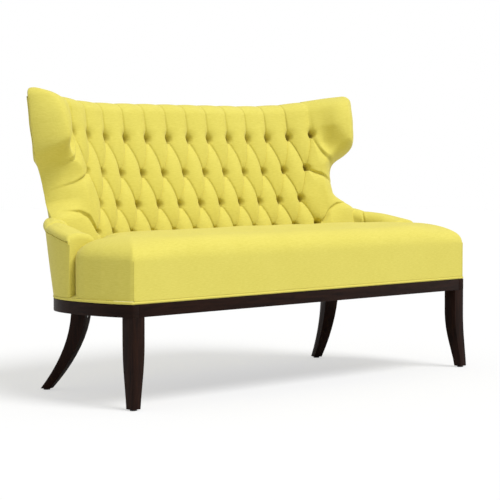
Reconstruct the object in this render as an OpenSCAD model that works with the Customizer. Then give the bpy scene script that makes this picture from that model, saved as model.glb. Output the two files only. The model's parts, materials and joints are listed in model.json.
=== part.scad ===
// High back settee with a deep buttoned inside back, flared wings and low arms.
// Millimetres, Z up, front towards -Y. The origin is on the floor below the middle of the bounding box.

/* [Base] */
// width of the show rail from front corner to front corner
base_w = 1512; // [1200:10:1900]
// how far the side rails bow out past the front corners
base_bow = 32; // [0:1:60]
// distance from the front rail to the widest place of the side rails
bow_y = 175; // [120:5:240]
// depth of the show rail at the middle
base_d = 530; // [420:5:640]
// power of the rear corner curve, higher is squarer
corner_power = 2.9; // [2:0.1:5]
// height of the top of the show rail above the floor
rail_top_z = 300; // [240:5:360]
// height of the show rail itself
rail_h = 37; // [25:1:60]
// thickness of the show rail
rail_t = 24; // [18:1:35]

/* [Legs] */
// width of a front leg at the top
leg_w = 45; // [35:1:60]
// width of a front foot at the floor
foot_w = 29; // [18:1:40]
// how far the front feet reach forward
front_kick = 8; // [0:1:40]
// width of a rear leg at the top
rear_leg_w = 48; // [35:1:60]
// how far the rear feet reach back
rear_kick = 118; // [40:1:150]
// turn of the rear legs in plan
rear_leg_angle = 25; // [0:1:45]
// how far a rear leg is set in from a front corner, seen from the front
rear_leg_in_x = 188; // [100:1:320]
// distance from a rear leg to the back of the base
rear_leg_in_y = 90; // [60:1:160]
// thickness of a nylon glide under a foot
glide_t = 4; // [2:0.5:8]
// diameter of a nylon glide
glide_dia = 20; // [12:1:28]

/* [Seat] */
// height of the middle of the seat above the floor
seat_z = 488; // [430:1:540]
// height at which the seat sides start to turn in
seat_side_z = 410; // [360:1:460]
// radius of the front edge of the seat
seat_edge_r = 46; // [20:1:80]
// thickness of the padding on the seat sides
seat_wall_t = 15; // [8:1:30]
// height of the deck under the seat pad
deck_z = 362; // [330:1:400]
// how far the back edge of the seat pad stays in front of the button plane at the deck
seat_back_gap = 13; // [5:1:30]

/* [Back] */
// lean of the back
rake_angle = 15.5; // [5:0.5:25]
// distance from the button plane at the deck to the back of the base
back_in_y = 67; // [40:1:120]
// share of the width of the show rail that the top row of buttons spans
button_span_share = 0.738; // [0.6:0.001:0.8]
// number of spaces between the buttons of the top row
button_spaces = 12; // [8:2:16]
// padding beyond the last button of the top row
panel_margin = 14; // [5:1:25]
// height of the lowest button row above the deck along the back
row_low_h = 109; // [60:1:160]
// spacing of the lowest rows
row_pitch = 88; // [60:1:140]
// growth of the row spacing from row to row
row_growth = 5.2; // [0:0.1:15]
// share of the top row of buttons that lies in the straight middle of the back
flat_share = 0.5; // [0.2:0.01:0.8]
// radius of the curved ends, as a share of half the top row of buttons
end_r_share = 1.18; // [0.8:0.01:2]
// rise of the button rows towards the ends
end_rise = 3; // [0:0.5:40]
// depth of the deep buttoning from crest to button
tuft_d = 38; // [15:1:60]
// padding left behind a button
tuft_back_t = 12; // [5:1:30]
// depth of the frame behind the padding
frame_d = 61; // [30:1:80]
// height of the top roll above the deck along the back
roll_top_h = 548; // [450:1:650]
// thickness of the outside panels
panel_t = 8; // [4:1:15]
// diameter of a covered button
button_dia = 22; // [15:1:35]
// thickness of a covered button
button_t = 8; // [4:1:14]

/* [Wings and arms] */
// how far the wings reach past the columns, measured along the back
wing_reach = 140; // [60:1:200]
// height of the wing tops above the deck along the back
wing_top_h = 556; // [480:1:700]
// outer edge of the column below a wing, as a share of half the top row of buttons
column_share = 1.097; // [1.05:0.001:1.2]
// height of the arm at its front end
arm_front_z = 497; // [450:1:600]
// height of the arm where it meets the back
arm_back_z = 566; // [480:1:680]
// thickness of an arm at the front
arm_front_t = 112; // [70:1:140]
// thickness of an arm at the back
arm_back_t = 56; // [35:1:90]
// diameter of the piping
piping_dia = 9; // [5:0.5:14]

/* [Hidden frame] */
// thickness of the beech boards
board_t = 24; // [18:1:35]
// height of the beech seat rails
seat_rail_h = 56; // [35:1:80]
// number of seat springs
spring_count = 9; // [4:1:14]
// thickness of a spring wire
spring_dia = 5; // [3:0.5:8]
// thickness of the cloth under and behind the padding
cloth_t = 2; // [1:0.5:5]
// diameter of a leg bolt
bolt_dia = 8; // [6:1:12]
// diameter of a frame screw
screw_dia = 5; // [3:0.5:8]
// clear space between parts that touch
fit_gap = 0.3; // [0.2:0.1:1]

/* [Hidden] */
$fn = 32;
base_half = base_w / 2;
wide_half = base_half + base_bow;
rear_len = base_d - bow_y;
rail_low_z = rail_top_z - rail_h;
cover_low_z = rail_top_z + piping_dia;
rear_steps = 20;
side_steps = 6;
front_y = 338 / 530 * base_d;
rear_leg_x = base_half - rear_leg_in_x;
rear_leg_y = base_d - rear_leg_in_y;
back_y = base_d - back_in_y;
seat_back_y = back_y - seat_back_gap;
bend_end_s = base_half * button_span_share;
button_pitch = 2 * bend_end_s / button_spaces;
flat_s = bend_end_s * flat_share;
end_r = bend_end_s * end_r_share;
back_half_s = bend_end_s + panel_margin;
column_s = bend_end_s * column_share;
wing_out_s = column_s + wing_reach;
lean = tan(rake_angle);
frame_front_d = tuft_back_t + cloth_t + 2 * fit_gap;
frame_back_d = frame_front_d + frame_d;
outside_d = frame_back_d + fit_gap + panel_t;
post_w = 2 * board_t;
seat_rail_z = rail_top_z + fit_gap;
seat_rail_top = seat_rail_z + seat_rail_h;

function flat_list(lists) = [for (one = lists) for (item = one) item];
function smooth(k) = k <= 0 ? 0 : k >= 1 ? 1 : k * k * (3 - 2 * k);
function mix(a, b, k) = a + (b - a) * k;
function backwards(list) = [for (i = [len(list) - 1 : -1 : 0]) list[i]];
function part_of(list, first, last) = [for (i = [first : last]) list[i]];
function flip_x(points) = [for (p = backwards(points)) [-p[0], p[1]]];

// outline of the right half of the base, from the front corner to the middle of the back
function front_side(k) = [base_half + base_bow * (1 - pow(1 - k, 2)), bow_y * k];
function rear_side(a) = [wide_half * pow(abs(cos(a)), 2 / corner_power),
                         bow_y + rear_len * pow(sin(a), 2 / corner_power)];
function rear_out(p) = let (g = [pow(p[0] / wide_half, corner_power - 1) / wide_half,
                                 pow((p[1] - bow_y) / rear_len, corner_power - 1) / rear_len])
    g / norm(g);
function rear_in(a, d) = let (p = rear_side(a)) p - d * rear_out(p);
function side_inset(d) = concat(
    [for (i = [0 : side_steps - 1]) front_side(i / side_steps) - [d, 0]],
    [for (i = [0 : rear_steps]) rear_in(90 * i / rear_steps, d)]);

// joins loops of points into one closed solid, with one point at the bottom and one at the top
module loft(loops, low, high) {
    n = len(loops[0]);
    m = len(loops);
    bottom = [for (i = [0 : n - 1]) [m * n, i, (i + 1) % n]];
    top = [for (i = [0 : n - 1]) [m * n + 1, (m - 1) * n + (i + 1) % n, (m - 1) * n + i]];
    polyhedron(concat(flat_list(loops), [low, high]), concat(loop_sides(n, m), bottom, top), convexity = 8);
}

function loop_sides(n, m) = [for (j = [0 : m - 2]) for (i = [0 : n - 1]) for (h = [0, 1])
    let (a = j * n + i, b = j * n + (i + 1) % n, c = a + n, d = b + n)
    h == 0 ? [a, c, d] : [a, d, b]];

// the same for long curved loops, whose ends are closed by a ladder from the front points to the back points
module long_loft(loops, fronts, backs) {
    n = len(loops[0]);
    m = len(loops);
    each_back = (fronts - 1) / (backs - 1);
    ladder = [for (j = [0 : backs - 2]) let (b = n - 1 - j)
        concat([for (i = [0 : each_back - 1]) [j * each_back + i, j * each_back + i + 1, b]],
               [[(j + 1) * each_back, b - 1, b]])];
    bottom = flat_list(ladder);
    top = [for (f = bottom) [for (i = [2 : -1 : 0]) f[i] + (m - 1) * n]];
    polyhedron(flat_list(loops), concat(loop_sides(n, m), bottom, top), convexity = 8);
}

// places a solid drawn from the front face of the rail
module at_front() {
    translate([0, -front_y, 0]) children();
}

// places a solid drawn on the leaning plane of the buttons
module raked() {
    translate([0, back_y - front_y, deck_z]) rotate([-rake_angle, 0, 0]) children();
}

module flip() {
    mirror([1, 0, 0]) children();
}

// Base of show wood

side_end = side_steps + round(rear_steps * 0.6);

module rail_slab(points) {
    translate([0, 0, rail_low_z]) linear_extrude(rail_h) polygon(points);
}

function side_rail_plan() = concat(part_of(side_inset(0), 0, side_end),
    backwards(part_of(side_inset(rail_t), 0, side_end)));

function back_rail_plan() = let (out = side_inset(0), inn = side_inset(rail_t), last = len(out) - 1)
    concat(part_of(out, side_end, last), part_of(flip_x(out), 1, last - side_end),
           backwards(part_of(flip_x(inn), 1, last - side_end)), backwards(part_of(inn, side_end, last)));

module front_rail() {
    inner = front_side(rail_t / bow_y)[0] - rail_t - 3 * fit_gap;
    color("saddlebrown") at_front() rail_slab([
        [-base_half + rail_t + fit_gap, 0],
        [base_half - rail_t - fit_gap, 0],
        [inner, rail_t],
        [-inner, rail_t]]);
}

module rail_right() {
    color("saddlebrown") at_front() rail_slab(side_rail_plan());
}

module rail_left() {
    color("saddlebrown") flip() at_front() rail_slab(side_rail_plan());
}

module back_rail() {
    color("saddlebrown") at_front() rail_slab(back_rail_plan());
}

// Legs

function square_loop(x, y, w, angle, z) = [for (c = [[-1, -1], [1, -1], [1, 1], [-1, 1]])
    [x + w / 2 * (c[0] * cos(angle) + c[1] * sin(angle)),
     y + w / 2 * (c[1] * cos(angle) - c[0] * sin(angle)), z]];

leg_steps = 10;
leg_h = rail_low_z - glide_t;
front_leg_x = base_half - leg_w / 2 - fit_gap;
front_leg_y = leg_w / 2 + fit_gap;
front_bolt_x = base_half - rail_t - board_t / 2;
front_bolt_y = rail_t + board_t / 2;

function front_leg_loop(k) = let (low = smooth((1 - k) * 1.3 - 0.3) * (1 - k), w = mix(leg_w, foot_w, low))
    square_loop(front_leg_x + (leg_w - w) / 2 + front_kick * low,
                front_leg_y - (leg_w - w) / 2 - front_kick * low, w, 0, glide_t + leg_h * k);

module front_leg() {
    color("saddlebrown") at_front() difference() {
        loft([for (i = [0 : leg_steps]) front_leg_loop(i / leg_steps)],
             [front_leg_x + (leg_w - foot_w) / 2 + front_kick,
              front_leg_y - (leg_w - foot_w) / 2 - front_kick, glide_t],
             [front_leg_x, front_leg_y, rail_low_z]);
        leg_bolt_hole(front_bolt_x, front_bolt_y);
    }
}

rear_bolt_in = 17 / 48 * rear_leg_w;
rear_bolt_x = rear_leg_x - rear_bolt_in * sin(rear_leg_angle);
rear_bolt_y = rear_leg_y - rear_bolt_in * cos(rear_leg_angle);

function rear_kick_at(k) = rear_kick * pow(1 - k, 1.9);
function rear_leg_loop(k) = square_loop(
    rear_leg_x + rear_kick_at(k) * sin(rear_leg_angle),
    rear_leg_y + rear_kick_at(k) * cos(rear_leg_angle),
    mix(rear_leg_w, foot_w, pow(1 - k, 1.2)), rear_leg_angle, glide_t + leg_h * k);

module rear_leg() {
    color("saddlebrown") at_front() difference() {
        loft([for (i = [0 : leg_steps]) rear_leg_loop(i / leg_steps)],
             [rear_leg_x + rear_kick * sin(rear_leg_angle), rear_leg_y + rear_kick * cos(rear_leg_angle), glide_t],
             [rear_leg_x, rear_leg_y, rail_low_z]);
        leg_bolt_hole(rear_bolt_x, rear_bolt_y);
    }
}

module leg_bolt_hole(x, y) {
    translate([x, y, rail_low_z - board_t * 1.5 - fit_gap])
        cylinder(d = bolt_dia + 2 * fit_gap, h = board_t * 4);
}

module leg_front_right() {
    front_leg();
}

module leg_front_left() {
    flip() front_leg();
}

module leg_rear_right() {
    rear_leg();
}

module leg_rear_left() {
    flip() rear_leg();
}

module glide(x, y) {
    translate([x, y, 0]) cylinder(d = glide_dia, h = glide_t);
}

module leg_glides() {
    color("dimgray") at_front() for (side = [0, 1]) mirror([side, 0, 0]) {
        glide(front_leg_x + (leg_w - foot_w) / 2 + front_kick, front_leg_y - (leg_w - foot_w) / 2 - front_kick);
        glide(rear_leg_x + rear_kick * sin(rear_leg_angle), rear_leg_y + rear_kick * cos(rear_leg_angle));
    }
}

// corner blocks inside the show rail, with the holes of the leg bolts
block_h = rail_h - bolt_dia;
block_w = 2.5 * board_t;

module corner_blocks() {
    color("burlywood") at_front() for (side = [0, 1]) mirror([side, 0, 0]) {
        difference() {
            translate([base_half - rail_t - fit_gap - block_w, rail_t + fit_gap, rail_low_z])
                cube([block_w, block_w, block_h]);
            leg_bolt_hole(front_bolt_x, front_bolt_y);
        }
        difference() {
            translate([rear_bolt_x, rear_bolt_y, rail_low_z]) rotate([0, 0, -rear_leg_angle])
                translate([-block_w / 2, -block_w + bolt_dia, 0]) cube([block_w, block_w, block_h]);
            leg_bolt_hole(rear_bolt_x, rear_bolt_y);
        }
    }
}

module leg_bolt(x, y) {
    translate([x, y, rail_low_z - board_t * 1.5]) cylinder(d = bolt_dia, h = board_t * 1.5 + block_h + fit_gap);
    translate([x, y, rail_low_z + block_h]) cylinder(d = 1.8 * bolt_dia, h = bolt_dia * 0.7);
}

module leg_bolts() {
    color("silver") at_front() for (side = [0, 1]) mirror([side, 0, 0]) {
        leg_bolt(front_bolt_x, front_bolt_y);
        leg_bolt(rear_bolt_x, rear_bolt_y);
    }
}

// Seat frame

side_rail_front_x = 685 / 756 * base_half;
side_rail_back_x = 599 / 756 * base_half;
front_seat_y = seat_wall_t + fit_gap;
back_seat_y = base_d - panel_t - fit_gap - 3 * board_t;
side_rail_len = back_y - front_seat_y - 4.25 * board_t;

module seat_frame_front() {
    color("burlywood") at_front() translate([-side_rail_front_x - board_t, front_seat_y, seat_rail_z])
        cube([2 * (side_rail_front_x + board_t), board_t, seat_rail_h]);
}

back_rail_end = side_rail_back_x - 2.2 * board_t;

module seat_frame_back() {
    color("burlywood") at_front() translate([0, back_seat_y, seat_rail_z]) linear_extrude(seat_rail_h)
        polygon([
            [-back_rail_end, 0],
            [back_rail_end, 0],
            [back_rail_end * 0.86, 1.1 * board_t],
            [back_rail_end * 0.55, 2.6 * board_t],
            [-back_rail_end * 0.55, 2.6 * board_t],
            [-back_rail_end * 0.86, 1.1 * board_t]]);
}

module side_seat_rail(grow) {
    low_y = front_seat_y + board_t + fit_gap;
    at_front() translate([0, 0, seat_rail_z - grow]) linear_extrude(seat_rail_h + 2 * grow) polygon([
        [side_rail_front_x - board_t - grow, low_y],
        [side_rail_front_x + grow, low_y],
        [side_rail_back_x + grow, low_y + side_rail_len + grow],
        [side_rail_back_x - board_t - grow, low_y + side_rail_len + grow]]);
}

module seat_frame_right() {
    color("burlywood") side_seat_rail(0);
}

module seat_frame_left() {
    flip() seat_frame_right();
}

stretcher_x = 300 / 756 * base_half;
stretcher_len = back_seat_y - front_seat_y - board_t - 2 * fit_gap;

module seat_stretchers() {
    color("burlywood") at_front() for (x = [-stretcher_x, stretcher_x])
        translate([x - board_t / 2, front_seat_y + board_t + fit_gap, seat_rail_z])
            cube([board_t, stretcher_len, seat_rail_h * 0.6]);
}

spring_span = 2 * (side_rail_back_x - 4.2 * board_t);
spring_z = seat_rail_top - 2 * spring_dia;
spring_len = stretcher_len - 2 * fit_gap;

module seat_springs() {
    color("silver") at_front() for (i = [0 : spring_count - 1])
        translate([spring_span * (i / (spring_count - 1) - 0.5), front_seat_y + board_t + 2 * fit_gap, spring_z])
            wave_spring();
}

// a flat zigzag spring made from straight bars
spring_turns = 8;
module wave_spring() {
    step = (spring_len - spring_dia) / spring_turns;
    for (j = [0 : spring_turns])
        translate([-5 * spring_dia, j * step, 0]) cube([10 * spring_dia, spring_dia, spring_dia]);
    for (j = [0 : spring_turns - 1])
        translate([j % 2 == 0 ? 4 * spring_dia : -5 * spring_dia, j * step, 0])
            cube([spring_dia, step + spring_dia, spring_dia]);
}

module spring_cover() {
    color("wheat") at_front() translate([0, 0, seat_rail_top + fit_gap]) linear_extrude(cloth_t) polygon([
        [-side_rail_front_x, front_seat_y + fit_gap],
        [side_rail_front_x, front_seat_y + fit_gap],
        [side_rail_back_x - 2.5 * board_t, seat_back_y - 2 * board_t],
        [-side_rail_back_x + 2.5 * board_t, seat_back_y - 2 * board_t]]);
}

module dust_cover() {
    color("black") at_front() translate([0, 0, rail_top_z - cloth_t]) linear_extrude(cloth_t)
        polygon([
            [-rear_leg_x, rail_t + 2 * fit_gap],
            [rear_leg_x, rail_t + 2 * fit_gap],
            [rear_leg_x - 2 * board_t, base_d - rail_t - 3 * board_t],
            [-rear_leg_x + 2 * board_t, base_d - rail_t - 3 * board_t]]);
}

// Seat pad, one tight cushion that is wide in front of the arms and narrow between them

arm_first_angle = 8.2;
arm_front_y = rear_side(arm_first_angle)[1];
arm_in_x = rear_side(8)[0] - arm_front_t - 2 * fit_gap;
narrow_back_x = column_s * 0.91;
seat_drop = 66 / 38 * tuft_d;
seat_rounds = [[0, 0], [0.1, 0.42], [0.38, 0.78], [1, 1]];

function seat_front_half(d) = concat(
    [for (i = [0 : 6]) [base_half * i / 7, d]],
    [[base_half - 1.6 * d - piping_dia / 3, d]],
    [for (i = [1 : 5]) front_side(i / 5) - [d, 0]],
    [[rear_in(3, d)[0], rear_side(3)[1] - d * 0.04]],
    [[rear_side(7.5)[0] - d, arm_front_y - 3 * fit_gap - d]]);
function seat_rear_half(d) = concat(
    [[arm_in_x - d, arm_front_y - 3 * fit_gap - d]],
    [[arm_in_x - d, arm_front_y + 8 * fit_gap]],
    [for (k = [0.35, 0.7]) [mix(arm_in_x, narrow_back_x, k) - d, mix(arm_front_y, seat_back_y - seat_drop, k)]],
    [for (k = [1, 0.8, 0.6, 0.4, 0.2]) [(narrow_back_x - d) * k, seat_back_y - seat_drop * pow(k, 4) - d]]);
function seat_plan(d) = let (half = concat(seat_front_half(d), seat_rear_half(d)))
    concat(half, [[0, seat_back_y - d]],
           [for (i = [len(half) - 1 : -1 : 1]) [-half[i][0], half[i][1]]]);
function at_height(points, z) = [for (p = points) [p[0], p[1], z]];
seat_under_z = seat_rail_top + cloth_t + 2 * fit_gap;
// the sides of the pad reach down to the piping only in front of the arms
function skirt(points, drop) = [for (p = points)
    [p[0], p[1], p[1] > arm_front_y ? seat_under_z - drop : cover_low_z]];
function toward(points, k) = let (c = [0, arm_front_y * 0.6]) [for (p = points) c + (p - c) * k];

seat_round_z = seat_z - 14 / 46 * seat_edge_r;

module seat_pad() {
    rim = seat_plan(seat_wall_t);
    color("khaki") at_front() loft(concat(
        [at_height(rim, seat_under_z)],
        [skirt(rim, fit_gap / 4)],
        [skirt(seat_plan(0), fit_gap / 4)],
        [for (r = seat_rounds) at_height(seat_plan(seat_edge_r * r[0]), mix(seat_side_z, seat_round_z, r[1]))],
        [for (k = [0.8, 0.55, 0.28])
            at_height(toward(seat_plan(seat_edge_r), k), mix(seat_z, seat_round_z, pow(k, 2.4)))]),
        [0, arm_front_y * 0.6, seat_under_z],
        [0, arm_front_y * 0.6, seat_z]);
}

// Inside back, drawn in the leaning frame with d behind the button plane and h up the back

function curved_s(s) = min(abs(s), bend_end_s);
function bend_angle(s) = curved_s(s) <= flat_s ? 0 : (curved_s(s) - flat_s) / end_r * 180 / PI;
function straight_s(s) = max(0, abs(s) - bend_end_s);
function bend_x(s) = abs(s) <= flat_s ? s
    : sign(s) * (flat_s + end_r * sin(bend_angle(s)) + straight_s(s) * cos(bend_angle(s)));
function bend_d(s) = -end_r * (1 - cos(bend_angle(s))) - straight_s(s) * sin(bend_angle(s));
function back_point(s, d) = [bend_x(s) + d * sin(bend_angle(s)) * sign(s), bend_d(s) + d * cos(bend_angle(s))];
function back_spot(s, d, h) = let (p = back_point(s, d)) [p[0], p[1], h];
function rise(s) = end_rise * pow(s / bend_end_s, 2);
function row_h(v) = row_low_h + row_pitch * v + row_growth * v * v;

function tuft_rows(s, v) = let (
    p = abs(sin(180 * (s / button_pitch + (v + 1) / 2))),
    q = abs(sin(180 * (s / button_pitch - (v + 1) / 2))))
    0.34 * pow(max(p, q), 0.6) + 0.66 * pow(p * q, 0.5);
function tuft_top(s, v) = let (p = abs(sin(180 * s / button_pitch)), k = min(1, (v - 3) * 1.6))
    mix(0.34 * pow(p, 0.6) + 0.66 * p * 0, 0.86 + 0.14 * pow(p, 0.6), k);
function tuft_low(s, v) = let (p = abs(sin(180 * (s / button_pitch + 0.5))))
    mix(0.34 * pow(p, 0.6), 0.2, min(1, -v * 2));
function tuft(s, v) = tuft_d * (v < 0 ? tuft_low(s, v) : v > 3 ? tuft_top(s, v) : tuft_rows(s, v));

front_steps = 4 * button_spaces;
row_steps = concat([-1.15, -0.5], [for (i = [0 : 12]) i / 4], [3.3, 3.6]);

function shifted(i, v) = (v >= 0 && v <= 3 && (round(v * 4) % 2) == 1 && i > 0 && i < front_steps) ? 0.5 : 0;
function front_s(i, v) = i < 0 ? -back_half_s : i > front_steps ? back_half_s
    : (2 * (i + shifted(i, v)) / front_steps - 1) * bend_end_s;
back_shares = [for (i = [5 : -2 : -5]) i / 5];
function back_strip(d, h, raise) = [for (k = back_shares)
    back_spot(k * back_half_s, d, h + raise * rise(k * back_half_s))];
function back_loop(v) = concat(
    [for (i = [-1 : front_steps + 1]) let (s = front_s(i, v)) back_spot(s, -tuft(s, v), row_h(v) + rise(s))],
    back_strip(tuft_back_t, row_h(v), 0));
function roll_loop(front_d, back_d, h, raise) = concat(
    [for (i = [-1 : front_steps + 1]) let (s = front_s(i, 0)) back_spot(s, front_d, h + rise(s))],
    back_strip(back_d, h, raise));

roll_low_h = roll_top_h - 4.25 * panel_t;

module inside_back() {
    color("khaki") raked() long_loft(concat(
        [for (v = row_steps) back_loop(v)],
        [roll_loop(-tuft_d * 0.92, tuft_back_t, roll_low_h, 0)],
        [roll_loop(-tuft_d * 0.88, outside_d, roll_low_h + fit_gap, 0)],
        [roll_loop(-tuft_d * 0.5, outside_d - panel_t / 2, roll_top_h - 1.5 * panel_t, 1)],
        [roll_loop(tuft_d * 0.3, outside_d - 3 * panel_t, roll_top_h, 1)]),
        front_steps + 3, len(back_shares));
}

// shares of the tuft depth at which the rim of a button meets the folds around it
button_seat_share = 0.43;
top_seat_share = 0.388;

module back_button(s, v) {
    p = back_spot(s, -tuft_d * (v == 3 ? top_seat_share : button_seat_share), row_h(v) + rise(s));
    translate(p) rotate([90, 0, bend_angle(s) * -sign(s)]) {
        cylinder(d = button_dia, h = button_t * 0.5, $fn = 10);
        translate([0, 0, button_t * 0.5])
            cylinder(d1 = button_dia, d2 = button_dia * 0.6, h = button_t * 0.5, $fn = 10);
    }
}

module back_buttons() {
    color("khaki") raked() {
        last = button_spaces / 2;
        for (i = [-last : last]) back_button(i * button_pitch, 3);
        for (v = [0, 2]) for (i = [0.5 - last : last - 0.5]) back_button(i * button_pitch, v);
        for (i = [1 - last : last - 1]) back_button(i * button_pitch, 1);
    }
}

// Frame of the back

module back_board(s, d, h, size) {
    p = back_point(s, d);
    translate([p[0], p[1], h]) rotate([0, 0, -bend_angle(s) * sign(s)])
        translate([-size[0] / 2, 0, 0]) cube(size);
}

post_low_h = (seat_rail_top - deck_z + fit_gap) / cos(rake_angle);
post_top_h = roll_low_h - board_t * 2 - 3 * fit_gap;
post_d = frame_d - board_t;
outer_post_s = bend_end_s - post_w;

module back_post_right() {
    color("burlywood") raked() back_board(outer_post_s, frame_front_d, row_h(-1.15), [post_w, post_d, post_top_h - row_h(-1.15)]);
}

module back_post_left() {
    flip() back_post_right();
}

module back_slats() {
    color("burlywood") raked() for (s = [-flat_s * 0.6, flat_s * 0.6])
        back_board(s, frame_front_d, row_h(-1.15), [post_w, post_d, post_top_h - row_h(-1.15)]);
}

module back_rail_board(h, height, d, thick) {
    color("burlywood") raked() translate([-flat_s, d, h]) cube([2 * flat_s, thick, height]);
}

module top_rail() {
    back_rail_board(post_top_h + fit_gap, 2 * board_t, frame_front_d, post_d);
}

module lower_tacking_rail() {
    back_rail_board(row_low_h - board_t, 2 * board_t, frame_front_d + post_d + fit_gap, board_t - 2 * fit_gap);
}

module middle_back_rail() {
    back_rail_board(row_h(1.7), 2 * board_t, frame_front_d + post_d + fit_gap, board_t - 2 * fit_gap);
}

module curved_sheet(s_end, d, t, low, high, steps) {
    translate([0, 0, low]) linear_extrude(high - low) polygon(concat(
        [for (i = [-steps : steps]) back_point(s_end * i / steps, d)],
        [for (i = [steps : -1 : -steps]) back_point(s_end * i / steps, d + t)]));
}

module back_lining() {
    color("wheat") raked() curved_sheet(back_half_s - board_t, tuft_back_t + fit_gap, cloth_t,
        row_h(-1.15), roll_low_h - fit_gap, 14);
}

module outside_back() {
    color("khaki") raked() curved_sheet(back_half_s + fit_gap, frame_back_d + fit_gap, panel_t,
        (cover_low_z - deck_z + outside_d * sin(rake_angle)) / cos(rake_angle) + fit_gap, roll_low_h, 14);
}

// Wings, drawn in the leaning frame

wing_in_s = back_half_s + 3 * fit_gap;

wing_low_share = (cover_low_z - deck_z + 26 / 84 * outside_d * sin(rake_angle)) / cos(rake_angle) / wing_top_h;

// share of the wing height, share of the reach past the column, share of the front padding
wing_shares = [
    [wing_low_share, 0, 0.3], [0.27, 0, 0.3], [0.362, 0, 0.3], [0.372, 0.13, 0.5], [0.44, 0.23, 0.7],
    [0.51, 0.27, 0.8], [0.56, 0.34, 0.9], [0.6, 0.56, 1], [0.645, 0.88, 1], [0.7, 1, 1],
    [0.84, 1, 1], [0.92, 1, 1], [0.962, 0.95, 0.85], [0.988, 0.82, 0.4], [1, 0.6, -0.3]];

wing_front_d = 0.6 * tuft_d;

function wing_loop(w) = let (
    h = w[0] * wing_top_h,
    s_end = column_s + wing_reach * w[1],
    front = -wing_front_d * w[2],
    back = outside_d - (w[2] < 0.9 && w[0] > 0.9 ? (0.9 - w[2]) * frame_d * 0.4 : 0),
    half_d = (back - front) / 2,
    round_s = min(half_d, 0.16 * tuft_d + half_d * 0.75 * w[1], (s_end - wing_in_s) * 0.5))
    concat(
        [for (k = [0, 0.33, 0.66]) back_spot(mix(wing_in_s, s_end - round_s, k), front, h)],
        [for (a = [-90 : 22.5 : 90])
            back_spot(s_end - round_s + round_s * cos(a), front + half_d + half_d * sin(a), h)],
        [for (k = [0.66, 0.33, 0]) back_spot(mix(wing_in_s, s_end - round_s, k), back, h)]);

function middle_of(loop) = [for (i = [0 : 2]) let (all = [for (p = loop) p[i]])
    (min(all) + max(all)) / 2];

post_low_share = -0.118;
wing_post_s = [bend_end_s + board_t, bend_end_s + 1.875 * board_t];
ear_s = [wing_post_s[1] + fit_gap, wing_out_s - 2.4 * board_t];

function board_plan(s, d, grow) = [
    back_point(s[0] - grow, d[0] - grow),
    back_point(s[1] + grow, d[0] - grow),
    back_point(s[1] + grow, d[1] + grow),
    back_point(s[0] - grow, d[1] + grow)];

module wing_post(grow) {
    translate([0, 0, post_low_share * wing_top_h - 20 * grow])
        linear_extrude((0.86 - post_low_share) * wing_top_h + 21 * grow)
            polygon(board_plan(wing_post_s, [frame_front_d, frame_front_d + post_d], grow));
}

module wing_board(grow) {
    translate([0, 0, 0.68 * wing_top_h - grow])
        linear_extrude(0.18 * wing_top_h + 2 * grow)
            polygon(board_plan(ear_s, [frame_front_d, frame_front_d + board_t], grow));
}

module wing_pad() {
    loops = [for (w = wing_shares) wing_loop(w)];
    last = middle_of(wing_loop(wing_shares[len(wing_shares) - 1]));
    color("khaki") difference() {
        raked() difference() {
            loft(loops, middle_of(loops[0]), last);
            wing_post(fit_gap);
            wing_board(fit_gap);
        }
        side_seat_rail(fit_gap);
    }
}

module wing_pad_right() {
    wing_pad();
}

module wing_pad_left() {
    flip() wing_pad();
}

module wing_post_right() {
    color("burlywood") raked() wing_post(0);
}

module wing_post_left() {
    flip() wing_post_right();
}

module wing_board_right() {
    color("burlywood") raked() wing_board(0);
}

module wing_board_left() {
    flip() wing_board_right();
}

// Arms, swept along the curved side of the base

arm_last_angle = 42.2;
arm_sweep_shares = [0, 0.012, 0.06, 0.2, 0.35, 0.5, 0.65, 0.8, 0.9, 1];
arm_roll_h = 40 / 112 * arm_front_t;
arm_edge_r = 5 / 112 * arm_front_t;

function arm_loop(k, small) = let (
    a = mix(arm_first_angle, arm_last_angle, k),
    p = rear_side(a),
    g = rear_out(p),
    n = [g[0], g[1] * min(1, k * 3)] / norm([g[0], g[1] * min(1, k * 3)]),
    t = mix(arm_front_t, arm_back_t, pow(k, 0.8)),
    top = mix(arm_front_z, arm_back_z, pow(k, 1.15)) - small,
    low = cover_low_z,
    rz = min(t / 2, arm_roll_h),
    section = concat(
        [[small, low], [t - small, low]],
        [for (b = [0 : 22.5 : 180]) [t / 2 + (t / 2 - small) * cos(b), top - rz + rz * sin(b)]]))
    [for (q = section) let (r = p - n * q[0])
        [r[0], r[1] + lean * (q[1] - low) * smooth(k), q[1]]];

arm_board_angle = 26;
arm_board_in = arm_front_t / 8;
arm_board_len = 0.26 * rear_len;
arm_board_top = arm_front_z - 1.9 * board_t;

module arm_board(grow) {
    p = rear_side(arm_first_angle);
    translate([p[0] - arm_board_in, p[1] + arm_board_in, 0]) rotate([0, 0, arm_board_angle])
        translate([-board_t * 0.8 - grow, -grow, rail_top_z + fit_gap - 20 * grow])
            cube([board_t * 0.8 + 2 * grow, arm_board_len + 2 * grow,
                  arm_board_top - rail_top_z - fit_gap + 21 * grow]);
}

module arm_pad() {
    loops = [for (k = arm_sweep_shares) arm_loop(k, k == 0 ? arm_edge_r : 0)];
    color("khaki") at_front() difference() {
        loft(loops, middle_of(loops[0]), middle_of(loops[len(loops) - 1]));
        arm_board(fit_gap);
    }
}

module arm_pad_right() {
    arm_pad();
}

module arm_pad_left() {
    flip() arm_pad();
}

module arm_board_right() {
    color("burlywood") at_front() arm_board(0);
}

module arm_board_left() {
    flip() arm_board_right();
}

// Piping

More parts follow.
